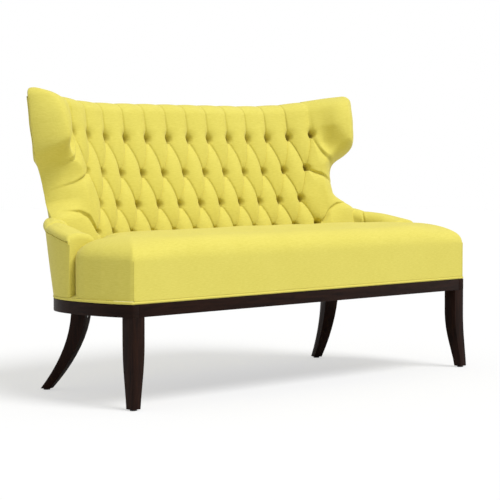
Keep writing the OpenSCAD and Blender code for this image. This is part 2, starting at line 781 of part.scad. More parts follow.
module base_piping() {
    out = front_cut(side_inset(-piping_over), -piping_over);
    inn = front_cut(side_inset(piping_dia - piping_over), piping_dia - piping_over);
    color("khaki") at_front() translate([0, 0, rail_top_z + fit_gap]) linear_extrude(piping_dia - 2 * fit_gap)
        difference() {
            polygon(concat([[0, -piping_over]], out, flip_x(out)));
            polygon(concat([[0, piping_dia - piping_over]], inn, flip_x(inn)));
        }
}

// moves the first point of an outline to a given distance from the front face
function front_cut(points, y) = concat([[points[0][0], y]], [for (i = [1 : len(points) - 1]) points[i]]);
piping_over = 1.5 / 9 * piping_dia;

module arm_cord() {
    p = rear_side(arm_first_angle + 1);
    q = p + rear_out(p) * (piping_dia / 3 + fit_gap);
    color("khaki") at_front() translate([q[0], q[1], cover_low_z + fit_gap])
        cylinder(d = piping_dia * 0.66, h = arm_front_z - arm_roll_h - cover_low_z);
}

module arm_piping_right() {
    arm_cord();
}

module arm_piping_left() {
    flip() arm_cord();
}

// Clips that hold the springs on the front seat rail

module spring_clips() {
    color("silver") at_front() for (i = [0 : spring_count - 1])
        translate([spring_span * (i / (spring_count - 1) - 0.5) - spring_dia,
                   front_seat_y + board_t + fit_gap, spring_z + spring_dia + fit_gap])
            cube([2 * spring_dia, 2 * spring_dia, spring_dia / 2]);
}

// part to draw, or all

front_rail();
rail_left();
rail_right();
back_rail();
leg_front_left();
leg_front_right();
leg_rear_left();
leg_rear_right();
leg_glides();
corner_blocks();
leg_bolts();
seat_frame_front();
seat_frame_back();
seat_frame_left();
seat_frame_right();
seat_stretchers();
seat_springs();
spring_clips();
spring_cover();
dust_cover();
seat_pad();
inside_back();
back_buttons();
back_lining();
back_post_left();
back_post_right();
back_slats();
top_rail();
middle_back_rail();
lower_tacking_rail();
outside_back();
wing_pad_left();
wing_pad_right();
wing_post_left();
wing_post_right();
wing_board_left();
wing_board_right();
arm_pad_left();
arm_pad_right();
arm_board_left();
arm_board_right();
base_piping();
arm_piping_left();
arm_piping_right();
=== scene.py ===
# %% [markdown]
# High back settee, dressed for rendering.
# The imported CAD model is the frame: every solid is already in place and in metres.
# The hard parts are copied from it and get rounded edges, and the padded parts are made anew
# over the solids that they stand for.

# %% Load the frame
import json
from math import cos, pi, radians, sin

import bmesh
import bpy
import numpy as np
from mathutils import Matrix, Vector


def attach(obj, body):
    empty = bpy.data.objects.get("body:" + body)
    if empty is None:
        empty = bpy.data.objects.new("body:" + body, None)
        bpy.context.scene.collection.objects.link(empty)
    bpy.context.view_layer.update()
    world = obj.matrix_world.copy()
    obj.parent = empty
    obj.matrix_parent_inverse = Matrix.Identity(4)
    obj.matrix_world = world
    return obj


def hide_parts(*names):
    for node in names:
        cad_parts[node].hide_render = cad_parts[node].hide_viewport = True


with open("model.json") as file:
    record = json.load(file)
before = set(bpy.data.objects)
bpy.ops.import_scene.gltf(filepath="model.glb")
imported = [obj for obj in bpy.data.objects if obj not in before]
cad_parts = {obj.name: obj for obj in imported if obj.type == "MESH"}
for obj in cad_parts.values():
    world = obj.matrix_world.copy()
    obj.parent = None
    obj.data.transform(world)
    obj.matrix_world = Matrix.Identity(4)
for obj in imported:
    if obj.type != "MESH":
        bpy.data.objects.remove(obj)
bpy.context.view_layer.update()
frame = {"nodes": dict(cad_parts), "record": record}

scene = bpy.context.scene
print("solids loaded:", len(frame["nodes"]))

# %% [markdown]
# The camera stands about six metres away at the front left, at the height of the buttons.
# A long lens keeps the lines of the settee almost parallel, as in a furniture catalogue.

# %% Camera
camera_data = bpy.data.cameras.new("camera")
camera_data.sensor_width = 36.0
camera_data.lens = 135.07
camera_data.clip_end = 60.0
camera = bpy.data.objects.new("camera", camera_data)
camera.location = (-4.302, -4.245, 0.739)
camera.rotation_euler = (radians(86.92), 0.0, radians(-45.81))
scene.collection.objects.link(camera)
scene.camera = camera
scene.view_settings.view_transform = "Standard"
print("camera lens", camera_data.lens)

# %% [markdown]
# The sky and the materials are built from shader nodes. With these helpers a node is made in one
# line: each of its inputs gets either a value or a link from the node before it.

# %% Helpers for shader nodes
WHITE = (1.0, 1.0, 1.0, 1.0)


def set_inputs(tree, node, inputs):
    for label, value in inputs.items():
        if isinstance(value, bpy.types.NodeSocket):
            tree.links.new(value, node.inputs[label])
        else:
            node.inputs[label].default_value = value


def add_node(tree, kind, inputs=None):
    node = tree.nodes.new("ShaderNode" + kind)
    set_inputs(tree, node, inputs or {})
    return node


def calculate(tree, operation, *values):
    node = add_node(tree, "Math", dict(enumerate(values)))
    node.operation = operation
    return node.outputs[0]


def noise(tree, place, scale, detail):
    return add_node(tree, "TexNoise", {"Vector": place, "Scale": scale, "Detail": detail})


def two_colours(tree, value, low, high, low_at=0.0, high_at=1.0):
    ramp = add_node(tree, "ValToRGB", {"Fac": value})
    for stop, colour, position in zip(ramp.color_ramp.elements, (low, high), (low_at, high_at)):
        stop.position = position
        stop.color = (*colour, 1.0)
    return ramp.outputs["Color"]


def bumps(tree, height, strength, distance):
    return add_node(tree, "Bump", {"Height": height, "Strength": strength,
                                   "Distance": distance}).outputs["Normal"]


def mixed_shaders(tree, share, first, second):
    return add_node(tree, "MixShader", {0: share, 1: first, 2: second}).outputs[0]


def object_place(tree):
    return add_node(tree, "TexCoord").outputs["Object"]


def new_material(name):
    material = bpy.data.materials.new(name)
    material.use_nodes = True
    return material, material.node_tree, material.node_tree.nodes["Principled BSDF"]


def new_group(name, inputs, outputs):
    group = bpy.data.node_groups.new(name, "ShaderNodeTree")
    for label, kind, value in inputs:
        socket = group.interface.new_socket(label, in_out="INPUT", socket_type=kind)
        socket.default_value = value
    for label in outputs:
        group.interface.new_socket(label, in_out="OUTPUT", socket_type="NodeSocketFloat")
    return group, group.nodes.new("NodeGroupInput").outputs, group.nodes.new("NodeGroupOutput")


def use_group(tree, group, inputs):
    node = tree.nodes.new("ShaderNodeGroup")
    node.node_tree = group
    set_inputs(tree, node, inputs)
    return node.outputs


# %% [markdown]
# The studio is a white room: an even sky from all sides, one broad and distant key light high in
# front, and a weak lamp at the left. The key light has no fall-off, so the floor stays equally
# white everywhere and only the soft shadow shows on it. What the camera sees behind the settee
# is plain white, but that white sends no more light on the settee than the sky does.

# %% Sky
def make_sky(strength):
    world = bpy.data.worlds.new("studio")
    world.use_nodes = True
    scene.world = world
    tree = world.node_tree
    tree.nodes.clear()
    path = add_node(tree, "LightPath").outputs
    seen = calculate(tree, "MAXIMUM", path["Is Camera Ray"], path["Is Glossy Ray"])
    seen = calculate(tree, "MAXIMUM", seen, path["Is Transmission Ray"])
    lit, shown = (add_node(tree, "Background", {"Color": WHITE, "Strength": power}).outputs[0]
                  for power in (strength, 1.0))
    add_node(tree, "OutputWorld", {"Surface": mixed_shaders(tree, seen, lit, shown)})


make_sky(0.50)


# %% Lamps
def add_lamp(name, kind, place, aim, energy):
    data = bpy.data.lights.new(name, kind)
    data.energy = energy
    lamp = bpy.data.objects.new(name, data)
    lamp.location = place
    lamp.rotation_euler = (Vector(aim) - Vector(place)).to_track_quat("-Z", "Y").to_euler()
    scene.collection.objects.link(lamp)
    return data


key_light = add_lamp("key light", "SUN", (0.4, -2.8, 4.4), (0.0, 0.0, 0.0), 2.75)
key_light.angle = radians(30.0)
fill_lamp = add_lamp("fill lamp", "AREA", (-3.8, -1.6, 2.4), (0.0, 0.0, 0.5), 2.0)
fill_lamp.shape, fill_lamp.size = "DISK", 3.0

# %% [markdown]
# Fabric is woven from threads, so its colour varies a little from thread to thread and its
# surface has fine ribs. Both come from one node group, so that each cloth can use it with its
# own thread size. The ribs run level on upright faces and from side to side on flat ones.

# %% Group for woven cloth
THREADS_ACROSS, THREADS_ALONG = 430.0, 62.0  # scales of the slubs: each is long and thin


def make_weave_group():
    group, given, end = new_group(
        "woven cloth", [("Rib", "NodeSocketFloat", 0.0022), ("Slub", "NodeSocketFloat", 0.5)],
        ["Height", "Shade"])

    def plus(first, second):
        return calculate(group, "ADD", first, second)

    def times(first, second):
        return calculate(group, "MULTIPLY", first, second)

    def ribs(place, turns):
        angle = times(calculate(group, "DIVIDE", place, given["Rib"]), turns * 2.0 * pi)
        return plus(times(calculate(group, "SINE", angle), 0.5), 0.5)

    coords = add_node(group, "TexCoord").outputs
    place = coords["Object"]
    x, y, z = add_node(group, "SeparateXYZ", {0: place}).outputs
    facing = add_node(group, "SeparateXYZ", {0: coords["Normal"]}).outputs
    # 1 on level faces, 0 on upright ones
    level = calculate(group, "GREATER_THAN", calculate(group, "ABSOLUTE", facing["Z"]), 0.72)
    upright = calculate(group, "SUBTRACT", 1.0, level)
    wobble = noise(group, place, 60.0, 2.0).outputs["Fac"]
    up_face = plus(times(z, upright), times(y, level))
    rib = ribs(plus(up_face, times(wobble, 0.0012)), 1.0)
    warp = ribs(plus(x, times(y, upright)), 1.6)
    woven = plus(times(rib, 0.7), times(warp, 0.3))
    # slubs are long along x and fine across it: in z on upright faces and in y on level ones
    finer = THREADS_ACROSS - THREADS_ALONG
    threads = add_node(group, "CombineXYZ", {
        "X": times(x, THREADS_ALONG),
        "Y": times(y, plus(times(level, finer), THREADS_ALONG)),
        "Z": times(z, plus(times(upright, finer), THREADS_ALONG))})
    slub_noise = noise(group, threads.outputs[0], 1.0, 3.0)
    slub_noise.inputs["Roughness"].default_value = 0.65
    slubs = slub_noise.outputs["Fac"]
    broad = noise(group, place, 7.0, 2.0).outputs["Fac"]
    fine_shade = plus(times(slubs, 0.62), times(woven, 0.20))
    set_inputs(group, end, {"Height": plus(times(woven, 0.5), times(slubs, given["Slub"])),
                            "Shade": plus(fine_shade, times(broad, 0.16))})
    return group


WEAVE = make_weave_group()
print("group", WEAVE.name, "with", len(WEAVE.nodes), "nodes")

# %% [markdown]
# Cloth that is pulled deep into a pit gets painted shade: its colour is darkened there, for little
# light gets in.
# The meshes of the back carry a mark of painted shade for that, which the cover reads.

# %% Cloth materials
# Painted shade: this tint darkens the cover in the pits of the buttoning.
PIT_SHADE_TINT = (0.52, 0.42, 0.20, 1.0)


# Painted shade: multiplies the cloth colour by the tint where the mesh carries the pit mark.
def painted_pit_shade(tree, colour):
    mark = add_node(tree, "Attribute")
    mark.attribute_name = "pit_shade"
    mix = add_node(tree, "Mix")
    mix.data_type, mix.blend_type = "RGBA", "MULTIPLY"
    # of this node, sockets 6 and 7 are the two colours, and 2 is what comes out
    set_inputs(tree, mix, {"Factor": mark.outputs["Fac"], 6: colour, 7: PIT_SHADE_TINT})
    return mix.outputs[2]


# A cloth can be given painted shade in its pits.
def cloth(name, low, high, rib, slub, bump, rough, sheen, pit_shaded=False):
    material, tree, shader = new_material(name)
    weave = use_group(tree, WEAVE, {"Rib": rib, "Slub": slub})
    colour = two_colours(tree, weave["Shade"], low, high, 0.28, 0.82)
    set_inputs(tree, shader, {
        "Base Color": painted_pit_shade(tree, colour) if pit_shaded else colour,
        "Normal": bumps(tree, weave["Height"], 0.55, bump),
        "Roughness": rough, "Specular IOR Level": 0.25,
        "Sheen Weight": sheen, "Sheen Roughness": 0.4})
    return material


# The cover gets painted shade in the pits of the buttoning.
COVER = cloth("citron linen cover", (0.595, 0.518, 0.082), (0.735, 0.658, 0.146),
              0.0024, 0.8, 0.00035, 0.85, 0.12, pit_shaded=True)
LINING = cloth("unbleached lining", (0.55, 0.47, 0.33), (0.72, 0.64, 0.48),
               0.0018, 0.5, 0.0005, 0.9, 0.0)
DUST = cloth("black dust cloth", (0.012, 0.012, 0.013), (0.03, 0.03, 0.032),
             0.0015, 0.8, 0.0004, 0.95, 0.0)
print("cloths:", COVER.name, LINING.name, DUST.name)

# %% [markdown]
# Wood shows long fibres with darker pores between them. A noise that is stretched along the
# board gives the fibres, and a second finer one gives the pores. The show wood is stained so
# dark that the grain only just shows under its satin finish.

# %% Group for wood grain
def make_grain_group():
    group, given, end = new_group(
        "wood grain", [("Stretch", "NodeSocketVector", (1.0, 1.0, 1.0)),
                       ("Fineness", "NodeSocketFloat", 40.0)], ["Grain", "Pores"])
    mapping = add_node(group, "Mapping", {"Vector": object_place(group),
                                          "Scale": given["Stretch"]}).outputs[0]
    fibres = noise(group, mapping, given["Fineness"], 6.0)
    fibres.inputs["Distortion"].default_value = 0.6
    pores = noise(group, mapping, calculate(group, "MULTIPLY", given["Fineness"], 5.0), 2.0)
    set_inputs(group, end, {"Grain": fibres.outputs["Fac"], "Pores": pores.outputs["Fac"]})
    return group


GRAIN = make_grain_group()

# %% [markdown]
# No finish is equally glossy everywhere. One group turns any pattern into an uneven roughness,
# and another gives the fine specks of metal and nylon.

# %% Groups for gloss and specks
def make_gloss_group():
    group, given, end = new_group("uneven gloss", [
        (label, "NodeSocketFloat", 0.5) for label in ("Pattern", "Span", "Rough")], ["Roughness"])
    part = calculate(group, "MULTIPLY", given["Pattern"], given["Span"])
    set_inputs(group, end, {"Roughness": calculate(group, "ADD", part, given["Rough"])})
    return group


def make_speck_group():
    group, given, end = new_group("fine specks", [("Scale", "NodeSocketFloat", 180.0)], ["Specks"])
    specks = noise(group, object_place(group), given["Scale"], 4.0)
    set_inputs(group, end, {"Specks": specks.outputs["Fac"]})
    return group


GLOSS, SPECKS = make_gloss_group(), make_speck_group()


# %% Wood materials
def uneven_gloss(tree, pattern, span, rough):
    return use_group(tree, GLOSS, {"Pattern": pattern, "Span": span, "Rough": rough})["Roughness"]


def wood(name, dark, light, stretch, fineness, rough, coat):
    material, tree, shader = new_material(name)
    grain = use_group(tree, GRAIN, {"Stretch": stretch, "Fineness": fineness})
    set_inputs(tree, shader, {
        "Base Color": two_colours(tree, grain["Grain"], dark, light, 0.3, 0.72),
        "Normal": bumps(tree, grain["Pores"], 0.35, 0.0004),
        "Roughness": uneven_gloss(tree, grain["Pores"], 0.12, rough),
        "Specular IOR Level": 0.07, "Coat Weight": coat, "Coat Roughness": 0.28})
    return material


ESPRESSO = ((0.0060, 0.0022, 0.0013), (0.0200, 0.0072, 0.0040))
ESPRESSO_LEVEL = wood("espresso rail", *ESPRESSO, (0.10, 0.10, 1.0), 90.0, 0.40, 0.01)
ESPRESSO_UPRIGHT = wood("espresso leg", *ESPRESSO, (1.0, 1.0, 0.10), 90.0, 0.40, 0.01)
BEECH = wood("plain beech", (0.42, 0.26, 0.13), (0.58, 0.39, 0.21), (0.15, 1.0, 1.0),
             30.0, 0.55, 0.0)


# %% Metal and nylon
def plain_finish(name, colour, speck, metallic, rough):
    material, tree, shader = new_material(name)
    specks = use_group(tree, SPECKS, {"Scale": 180.0})["Specks"]
    set_inputs(tree, shader, {"Base Color": two_colours(tree, specks, speck, colour),
                              "Roughness": uneven_gloss(tree, specks, 0.2, rough),
                              "Metallic": metallic})
    return material


STEEL = plain_finish("zinc plated steel", (0.62, 0.62, 0.6), (0.45, 0.45, 0.43), 1.0, 0.3)
NYLON = plain_finish("black nylon", (0.03, 0.03, 0.03), (0.02, 0.02, 0.02), 0.0, 0.4)
print("materials:", len(bpy.data.materials))

# %% [markdown]
# The floor is one pale sheet. For the camera it glows a little, like a lit studio floor, so it
# reads as white while the soft shadow below the settee stays visible.

# %% Floor
def mesh_object(name, bm, material):
    mesh = bpy.data.meshes.new(name)
    bm.to_mesh(mesh)
    bm.free()
    mesh.materials.append(material)
    thing = bpy.data.objects.new(name, mesh)
    scene.collection.objects.link(thing)
    return thing


def make_floor():
    material, tree, shader = new_material("pale floor")
    set_inputs(tree, shader, {"Base Color": (0.72, 0.72, 0.72, 1.0), "Roughness": 0.9,
                              "Specular IOR Level": 0.0})
    glow = add_node(tree, "Emission", {"Color": WHITE, "Strength": 1.12}).outputs[0]
    seen = add_node(tree, "LightPath").outputs["Is Camera Ray"]
    seen = calculate(tree, "MULTIPLY", seen, 0.5)
    set_inputs(tree, tree.nodes["Material Output"],
               {"Surface": mixed_shaders(tree, seen, shader.outputs[0], glow)})
    bm = bmesh.new()
    bmesh.ops.create_grid(bm, x_segments=2, y_segments=2, size=14.0)
    mesh_object("floor", bm, material)


make_floor()


# %% Adding a finished piece
def add_piece(name, bm, nodes=(), material=COVER):
    piece = mesh_object(name, bm, material)
    for face in piece.data.polygons:
        face.use_smooth = True
    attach(piece, "root")
    if nodes:
        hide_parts(*nodes)
    print(name, "faces:", len(piece.data.polygons))
    return piece


# %% [markdown]
# A joiner breaks every sharp edge of the show wood with sandpaper before it is stained. Each
# wooden solid of the base is copied, its loose triangles are joined, flat faces are made whole
# again, and the edges are bevelled by a millimetre or two.

# %% Show wood with broken edges
def softened_copy(node, material, width):
    bm = bmesh.new()
    bm.from_mesh(frame["nodes"][node].data)
    bmesh.ops.remove_doubles(bm, verts=bm.verts, dist=1e-5)
    bmesh.ops.dissolve_limit(bm, angle_limit=radians(1.0), verts=bm.verts, edges=bm.edges)
    sharp = [e for e in bm.edges if e.is_manifold and e.calc_face_angle() > radians(35.0)]
    bmesh.ops.bevel(bm, geom=sharp, offset=width, offset_type="OFFSET", segments=3,
                    profile=0.5, affect="EDGES", clamp_overlap=True, material=-1)
    piece = add_piece("show_" + node, bm, [node], material=material)
    piece.data.set_sharp_from_angle(angle=radians(40.0))


for node in ("front_rail", "rail_left", "rail_right", "back_rail"):
    softened_copy(node, ESPRESSO_LEVEL, 0.0014)
for node in ("leg_front_left", "leg_front_right", "leg_rear_left", "leg_rear_right"):
    softened_copy(node, ESPRESSO_UPRIGHT, 0.0022)

# %% Finishes of the solids that stay as they are
FINISHES = {"beech": BEECH, "lining": LINING, "dust_cloth": DUST, "steel": STEEL, "glide": NYLON,
            "show_wood": ESPRESSO_LEVEL, "cover": COVER, "button_cover": COVER}
for part in frame["record"]["subparts"]:
    data = frame["nodes"][part["node"]].data
    data.materials.clear()
    data.materials.append(FINISHES[part["material_slot"]])

# %% [markdown]
# The back is one large padded shell. It is easiest to think of it laid out flat: s runs along
# the curve of the back from the middle, h runs up it, and d is the distance behind the plane
# of the buttons. One function bends that flat picture into place, with the straight middle,
# the curved ends and the lean that the solids have.

# %% Lean and curve of the back
LEAN = radians(15.5)
BUTTON_HALF = 0.557928  # from the middle to the last button of the top row
PITCH = BUTTON_HALF / 6  # from button to button along a row
STRAIGHT_HALF = BUTTON_HALF * 0.5
BEND_R = BUTTON_HALF * 1.18
FOOT_Y, FOOT_Z = 0.125, 0.362  # where s, d and h are all 0
END_RISE = 0.003  # the rows rise by this much towards their ends


def columns(*parts):
    return np.stack(parts, axis=-1)


def lean_back(s, d, h):
    side = np.sign(s) + (s == 0)
    reach = np.abs(s)
    turn = np.clip((reach - STRAIGHT_HALF) / BEND_R, 0, (BUTTON_HALF - STRAIGHT_HALF) / BEND_R)
    past = np.maximum(reach - BUTTON_HALF, 0)
    curved = np.minimum(reach, STRAIGHT_HALF) + BEND_R * np.sin(turn)
    x = curved + past * np.cos(turn) + d * np.sin(turn)
    y = d * np.cos(turn) - BEND_R * (1 - np.cos(turn)) - past * np.sin(turn)
    return columns(side * x, FOOT_Y + y * cos(LEAN) + h * sin(LEAN),
                    FOOT_Z - y * sin(LEAN) + h * cos(LEAN))


def row_h(v):
    """Height of row v along the back; the rows of buttons are 0 to 3, from below."""
    return 0.109 + 0.088 * v + 0.0052 * v * v


def rise(s):
    return END_RISE * (np.minimum(np.abs(s), BUTTON_HALF) / BUTTON_HALF) ** 2


def top_row_h(s):
    return row_h(3) + rise(s)


def unit(k):
    return np.clip(k, 0, 1)


def quarter_sine(k):
    return np.sin(unit(k) * pi / 2)


def hump(k):
    return np.sin(unit(k) * pi)


def ease(k):
    k = unit(k)
    return k * k * (3 - 2 * k)


print("height of the button rows:",
      [round(float(lean_back(0, 0, row_h(v))[2]), 3) for v in range(4)])

# %% [markdown]
# The outline of the flat picture gives the wings: a narrow column above the arm, a waist, a
# notch, and then the flare of the wing. Every point of the shell knows how far it lies from
# that outline, and the padding rolls away towards it. The column ends in a corner at the back
# of the shell, but the wing is thin there: its edge lies further forward.

# %% Outline of the back and the wings
WING_S = 0.7455  # reach of the wing at its top
CORNER_R = 0.030
TOP_ROLL = 0.050
TOP_H = 0.5495
MIDDLE_D, BACK_D = 0.0305, 0.0825  # depths of the top edge and of the outside of the back
LOW_H = -0.10  # lower end of the picture, hidden behind the seat
edge_heights = np.linspace(LOW_H, 0.60, 701)
side_reach = np.interp(
    edge_heights,
    [0.20, 0.24, 0.28, 0.30, 0.320, 0.334, 0.346, 0.360,
     0.38, 0.40, 0.42, 0.44, 0.46, 0.48, 0.50, 0.52],
    [0.632, 0.631, 0.633, 0.639, 0.650, 0.668, 0.698, 0.717,
     0.7245, 0.729, 0.733, 0.737, 0.740, 0.742, 0.7435, WING_S])
edge_depth = np.interp(
    edge_heights,
    [0.28, 0.30, 0.32, 0.34, 0.36, 0.38, 0.40, 0.44, 0.48, 0.52],
    [0.0825, 0.0805, 0.0765, 0.0660, 0.0490, 0.0410, 0.0375, 0.0330, 0.0260, 0.0210])


def blurred(values, width):
    kernel = np.exp(-0.5 * (np.arange(-3 * width, 3 * width + 1) / width) ** 2)
    return np.convolve(np.pad(values, 3 * width, mode="edge"), kernel / kernel.sum(), mode="valid")


side_reach, edge_depth = blurred(side_reach, 4), blurred(edge_depth, 8)


def side_end(h):
    return np.interp(h, edge_heights, side_reach)


def edge_d(s, h):
    """Depth of the outer edge: the top roll, and past the buttons the side edge."""
    side = np.interp(h, edge_heights, edge_depth)
    return MIDDLE_D + (side - MIDDLE_D) * ease((np.abs(s) - 0.47) / 0.09)


def rear_d(s, h):
    """Depth of the outside of the back, which is drawn forward to the wing edge."""
    gap = np.maximum(side_end(h) - np.abs(s), 0)
    return np.minimum(BACK_D, np.interp(h, edge_heights, edge_depth) + 0.004 + 0.40 * gap)


def top_end(s):
    reach = np.abs(s)
    flat = TOP_H + 0.0045 * ease((reach - 0.5) / 0.17)
    into = unit((reach - (WING_S - CORNER_R)) / CORNER_R)
    return flat - CORNER_R * (1 - np.sqrt(1 - into ** 2))


def outline_points():
    side = [(float(side_end(h)), float(h)) for h in np.linspace(LOW_H, 0.53, 211)]
    top = [(float(s), float(top_end(s)))
           for s in WING_S - CORNER_R + CORNER_R * np.sin(np.linspace(pi / 2, 0, 24))]
    rest = [(float(s), float(top_end(s))) for s in np.linspace(WING_S - CORNER_R, 0, 30)[1:]]
    return np.array([p for p in side if p[1] < top[0][1]] + top + rest)


OUTLINE = outline_points()


def distance_to(line, s, h):
    """Distance of each point (|s|, h) from a line of points, in metres."""
    p = columns(np.abs(s), h)
    best = np.full(len(p), 9)
    for a, b in zip(line[:-1], line[1:]):
        ab = b - a
        k = unit(((p - a) @ ab) / max(float(ab @ ab), 1e-12))
        away = p - (a + k[:, None] * ab)
        best = np.minimum(best, np.hypot(away[:, 0], away[:, 1]))
    return best


def inside_by(s, h):
    """How far each point lies inside the outline; 0.2 stands for anywhere in the middle."""
    result = np.full(len(s), 0.2)
    near = (np.abs(s) > 0.50) | (h > 0.45)
    result[near] = distance_to(OUTLINE, s[near], h[near])
    return result


print("outline points:", len(OUTLINE))

# %% [markdown]
# Deep buttoning: every button is pulled through the padding, and the spare cloth between two
# buttons is folded into a crease. The top row has thirteen buttons, and the rows below have
# twelve, eleven and twelve. Each diamond between four buttons is a small pillow. Above the top
# row the folds run straight up over the roll. Past the last buttons three long pleats cross
# the smooth padding to the notch, to the waist and to the arm.

# %% Relief of the padding
FOLD_RISE, FOLD_POWER = 0.0185, 0.6  # height of a fold above the plane of the buttons
FOLD_HALF = 0.0497  # from a button to the highest point of its fold
FOLD_REACH = 0.048  # past the last buttons, the padding is full this far from a fold
CREST, CREST_POWER = 0.0325, 0.58  # height of a pillow
SINK = 0.0215  # how deep a button pulls the cover below its plane
PIT_HALF = 0.0168
LIP = 0.0035  # thickness of the cloth that lies on top of a fold
END_BUTTONS = np.array([(k * PITCH, row_h(v) + END_RISE)
                        for k, v in ((6, 3), (5.5, 2), (5, 1), (5.5, 0), (5, -1))])
TOP_PLEAT = np.array([tuple(END_BUTTONS[0]), (6 * PITCH, 0.60)])
LONG_PLEATS = [np.array([tuple(END_BUTTONS[button]), *points]) for button, points in (
    (0, ((0.562, 0.398), (0.578, 0.370), (0.598, 0.341), (0.622, 0.322), (0.668, 0.312))),
    (1, ((0.522, 0.300), (0.540, 0.291), (0.566, 0.279), (0.590, 0.266), (0.650, 0.247))),
    (3, ((0.530, 0.116), (0.549, 0.134), (0.566, 0.155), (0.588, 0.172), (0.660, 0.184))))]


def fold_height(away):
    """Height of a fold at a distance from the button that it starts from."""
    return FOLD_RISE * quarter_sine(away / FOLD_HALF) ** FOLD_POWER


def lip(gap):
    """A fold lies over on one side: 1 right beside it there, 0 on the other side."""
    return np.where(gap > 1e-5, np.exp(-gap / 0.12), 0)


def sunk(raised, away):
    """Funnel round a button: the cover dives below the plane of the buttons."""
    k = ease(away / PIT_HALF)
    return raised * k - SINK * (1 - k)


def diamond_relief(s, v):
    p, q = s / PITCH + (v + 1) / 2, s / PITCH - (v + 1) / 2
    a, b = np.abs(np.sin(pi * p)), np.abs(np.sin(pi * q))
    fold = FOLD_RISE * np.maximum(a, b) ** FOLD_POWER
    raised = fold + (CREST - FOLD_RISE) * np.minimum(a, b) ** CREST_POWER
    dp, dq = p - np.round(p), q - np.round(q)
    raised = raised + LIP * (lip(dp) * np.minimum(b / 0.5, 1)
                             + lip(-dq) * np.minimum(a / 0.5, 1))
    away = np.hypot((dp + dq) / 2 * PITCH, (dp - dq) * (0.088 + 0.0104 * v))
    return sunk(raised, away)


def top_relief(s, up):
    across = np.abs(np.sin(pi * s / PITCH))
    fold = fold_height(np.maximum(up, 0)) + (CREST - 0.008 - FOLD_RISE) * ease((up - 0.03) / 0.07)
    start = FOLD_RISE * across ** FOLD_POWER + (CREST - FOLD_RISE) * across ** CREST_POWER
    later = fold + (CREST - fold) * across ** 0.55
    k = ease(up / 0.03)
    raised = start * (1 - k) + later * k
    gap = s / PITCH - np.round(s / PITCH)
    raised = raised + LIP * lip(gap) * ease(up / 0.04)
    return sunk(raised, np.hypot(gap * PITCH, np.maximum(up, 0)))


def signed_gap(line, s, h):
    """Distance from a pleat, above it positive and below it negative."""
    level = np.interp(np.abs(s), line[:, 0], line[:, 1])
    return np.where(h > level, 1, -1) * distance_to(line, s, h)


def side_relief(s, h):
    reach = np.abs(s)
    p = columns(reach, h)
    to_button = np.min([np.hypot(*(p - button).T) for button in END_BUTTONS], axis=0)
    slow = FOLD_REACH + 0.035 * ease((h - 0.35) / 0.05)
    to_end = np.min([distance_to(line, s, h) for line in (END_BUTTONS, TOP_PLEAT)], axis=0)
    to_pleat = np.min([distance_to(line, s, h) for line in LONG_PLEATS], axis=0)
    to_fold = np.minimum(to_end * FOLD_REACH / slow, to_pleat)
    fold = fold_height(to_button) + (CREST - 0.009 - FOLD_RISE) * ease((reach - 0.56) / 0.06)
    swell_h = h - 0.440 + 0.9 * (reach - 0.672) * ease((0.455 - h) / 0.03)
    crown = 0.031 * np.exp(-(((reach - 0.676) / 0.060) ** 2 + (swell_h / 0.094) ** 2) ** 1.5)
    corner = np.exp(-(((reach - 0.600) / 0.024) ** 2 + ((h - 0.385) / 0.040) ** 2))
    full = np.sqrt(quarter_sine(to_fold / FOLD_REACH))
    raised = fold + (CREST + crown - 0.016 * corner - fold) * full
    for pleat in LONG_PLEATS:
        gap = signed_gap(pleat, s, h)
        start = ease((reach - pleat[0][0]) / 0.03)
        above = 0.5 + 0.5 * np.tanh(gap / 0.0022)
        away = np.abs(gap)
        raised = raised + start * (0.0085 * above * np.exp(-away / 0.012)
                                   - 0.0065 * (1 - above) * np.exp(-away / 0.007))
    return sunk(raised, to_button)


def last_fold_s(v):
    """Where the zigzag through the last buttons lies at row v, in metres from the middle."""
    return PITCH * np.interp(v, [-1, 0, 1, 2, 3], [5, 5.5, 5, 5.5, 6])


def relief(s, v, h):
    pillows = diamond_relief(s, np.minimum(v, 3))
    inner = np.where(v <= 3, pillows, top_relief(s, h - top_row_h(s)))
    limit = np.where(v <= 3, last_fold_s(v), BUTTON_HALF)
    outside = np.abs(s) > limit + 1e-7
    inner[outside] = side_relief(s[outside], h[outside])
    return inner


on_button, on_pillow = diamond_relief(np.array([0, PITCH / 2]), np.array([3, 3]))
print("relief on a button", round(float(on_button), 4), "on a pillow", round(float(on_pillow), 4))

# %% [markdown]
# The mesh of the cover starts as one grid whose lines run along the folds, so that each sharp
# crease lies on edges of the mesh and not across them. The lines crowd towards the folds. The
# grid is cut to the field of buttons, then its edges are extruded up over the roll, down behind
# the seat and out to the wings, and round to the back.

# %% Flat mesh of the cover
LINES = 28  # grid lines from fold to fold
CROWDING = 0.6  # 0 spaces them evenly, 1 lets them meet at the folds
UP_STEPS, OUT_STEPS, OVER_STEPS = 30, 34, 8
FINE_FROM = 5.3 * PITCH  # the mesh is finer from here to the wings


def crowded(k):
    return k - CROWDING * np.sin(2 * pi * k) / (2 * pi)


def flat_marks(verts):
    raw = np.array([v.co[:] for v in verts])
    return raw[:, 0], raw[:, 1]


def set_points(verts, points):
    for vertex, point in zip(verts, points):
        vertex.co = point


def border_edges(bm):
    return [e for e in bm.edges if e.is_boundary]


def border(bm, axis, value):
    return [e for e in border_edges(bm) if all(abs(v.co[axis] - value) < 1e-6 for v in e.verts)]


def extruded(bm, edges):
    made = bmesh.ops.extrude_edge_only(bm, edges=edges)["geom"]
    fresh = {g for g in made if isinstance(g, bmesh.types.BMVert)}
    return fresh, [g for g in made if isinstance(g, bmesh.types.BMEdge) and set(g.verts) <= fresh]


def grow(bm, edges, axis, values):
    """Extrudes the edges once for each value and sets that coordinate of the new vertices."""
    for value in values:
        fresh, edges = extruded(bm, edges)
        for vertex in fresh:
            vertex.co[axis] = value


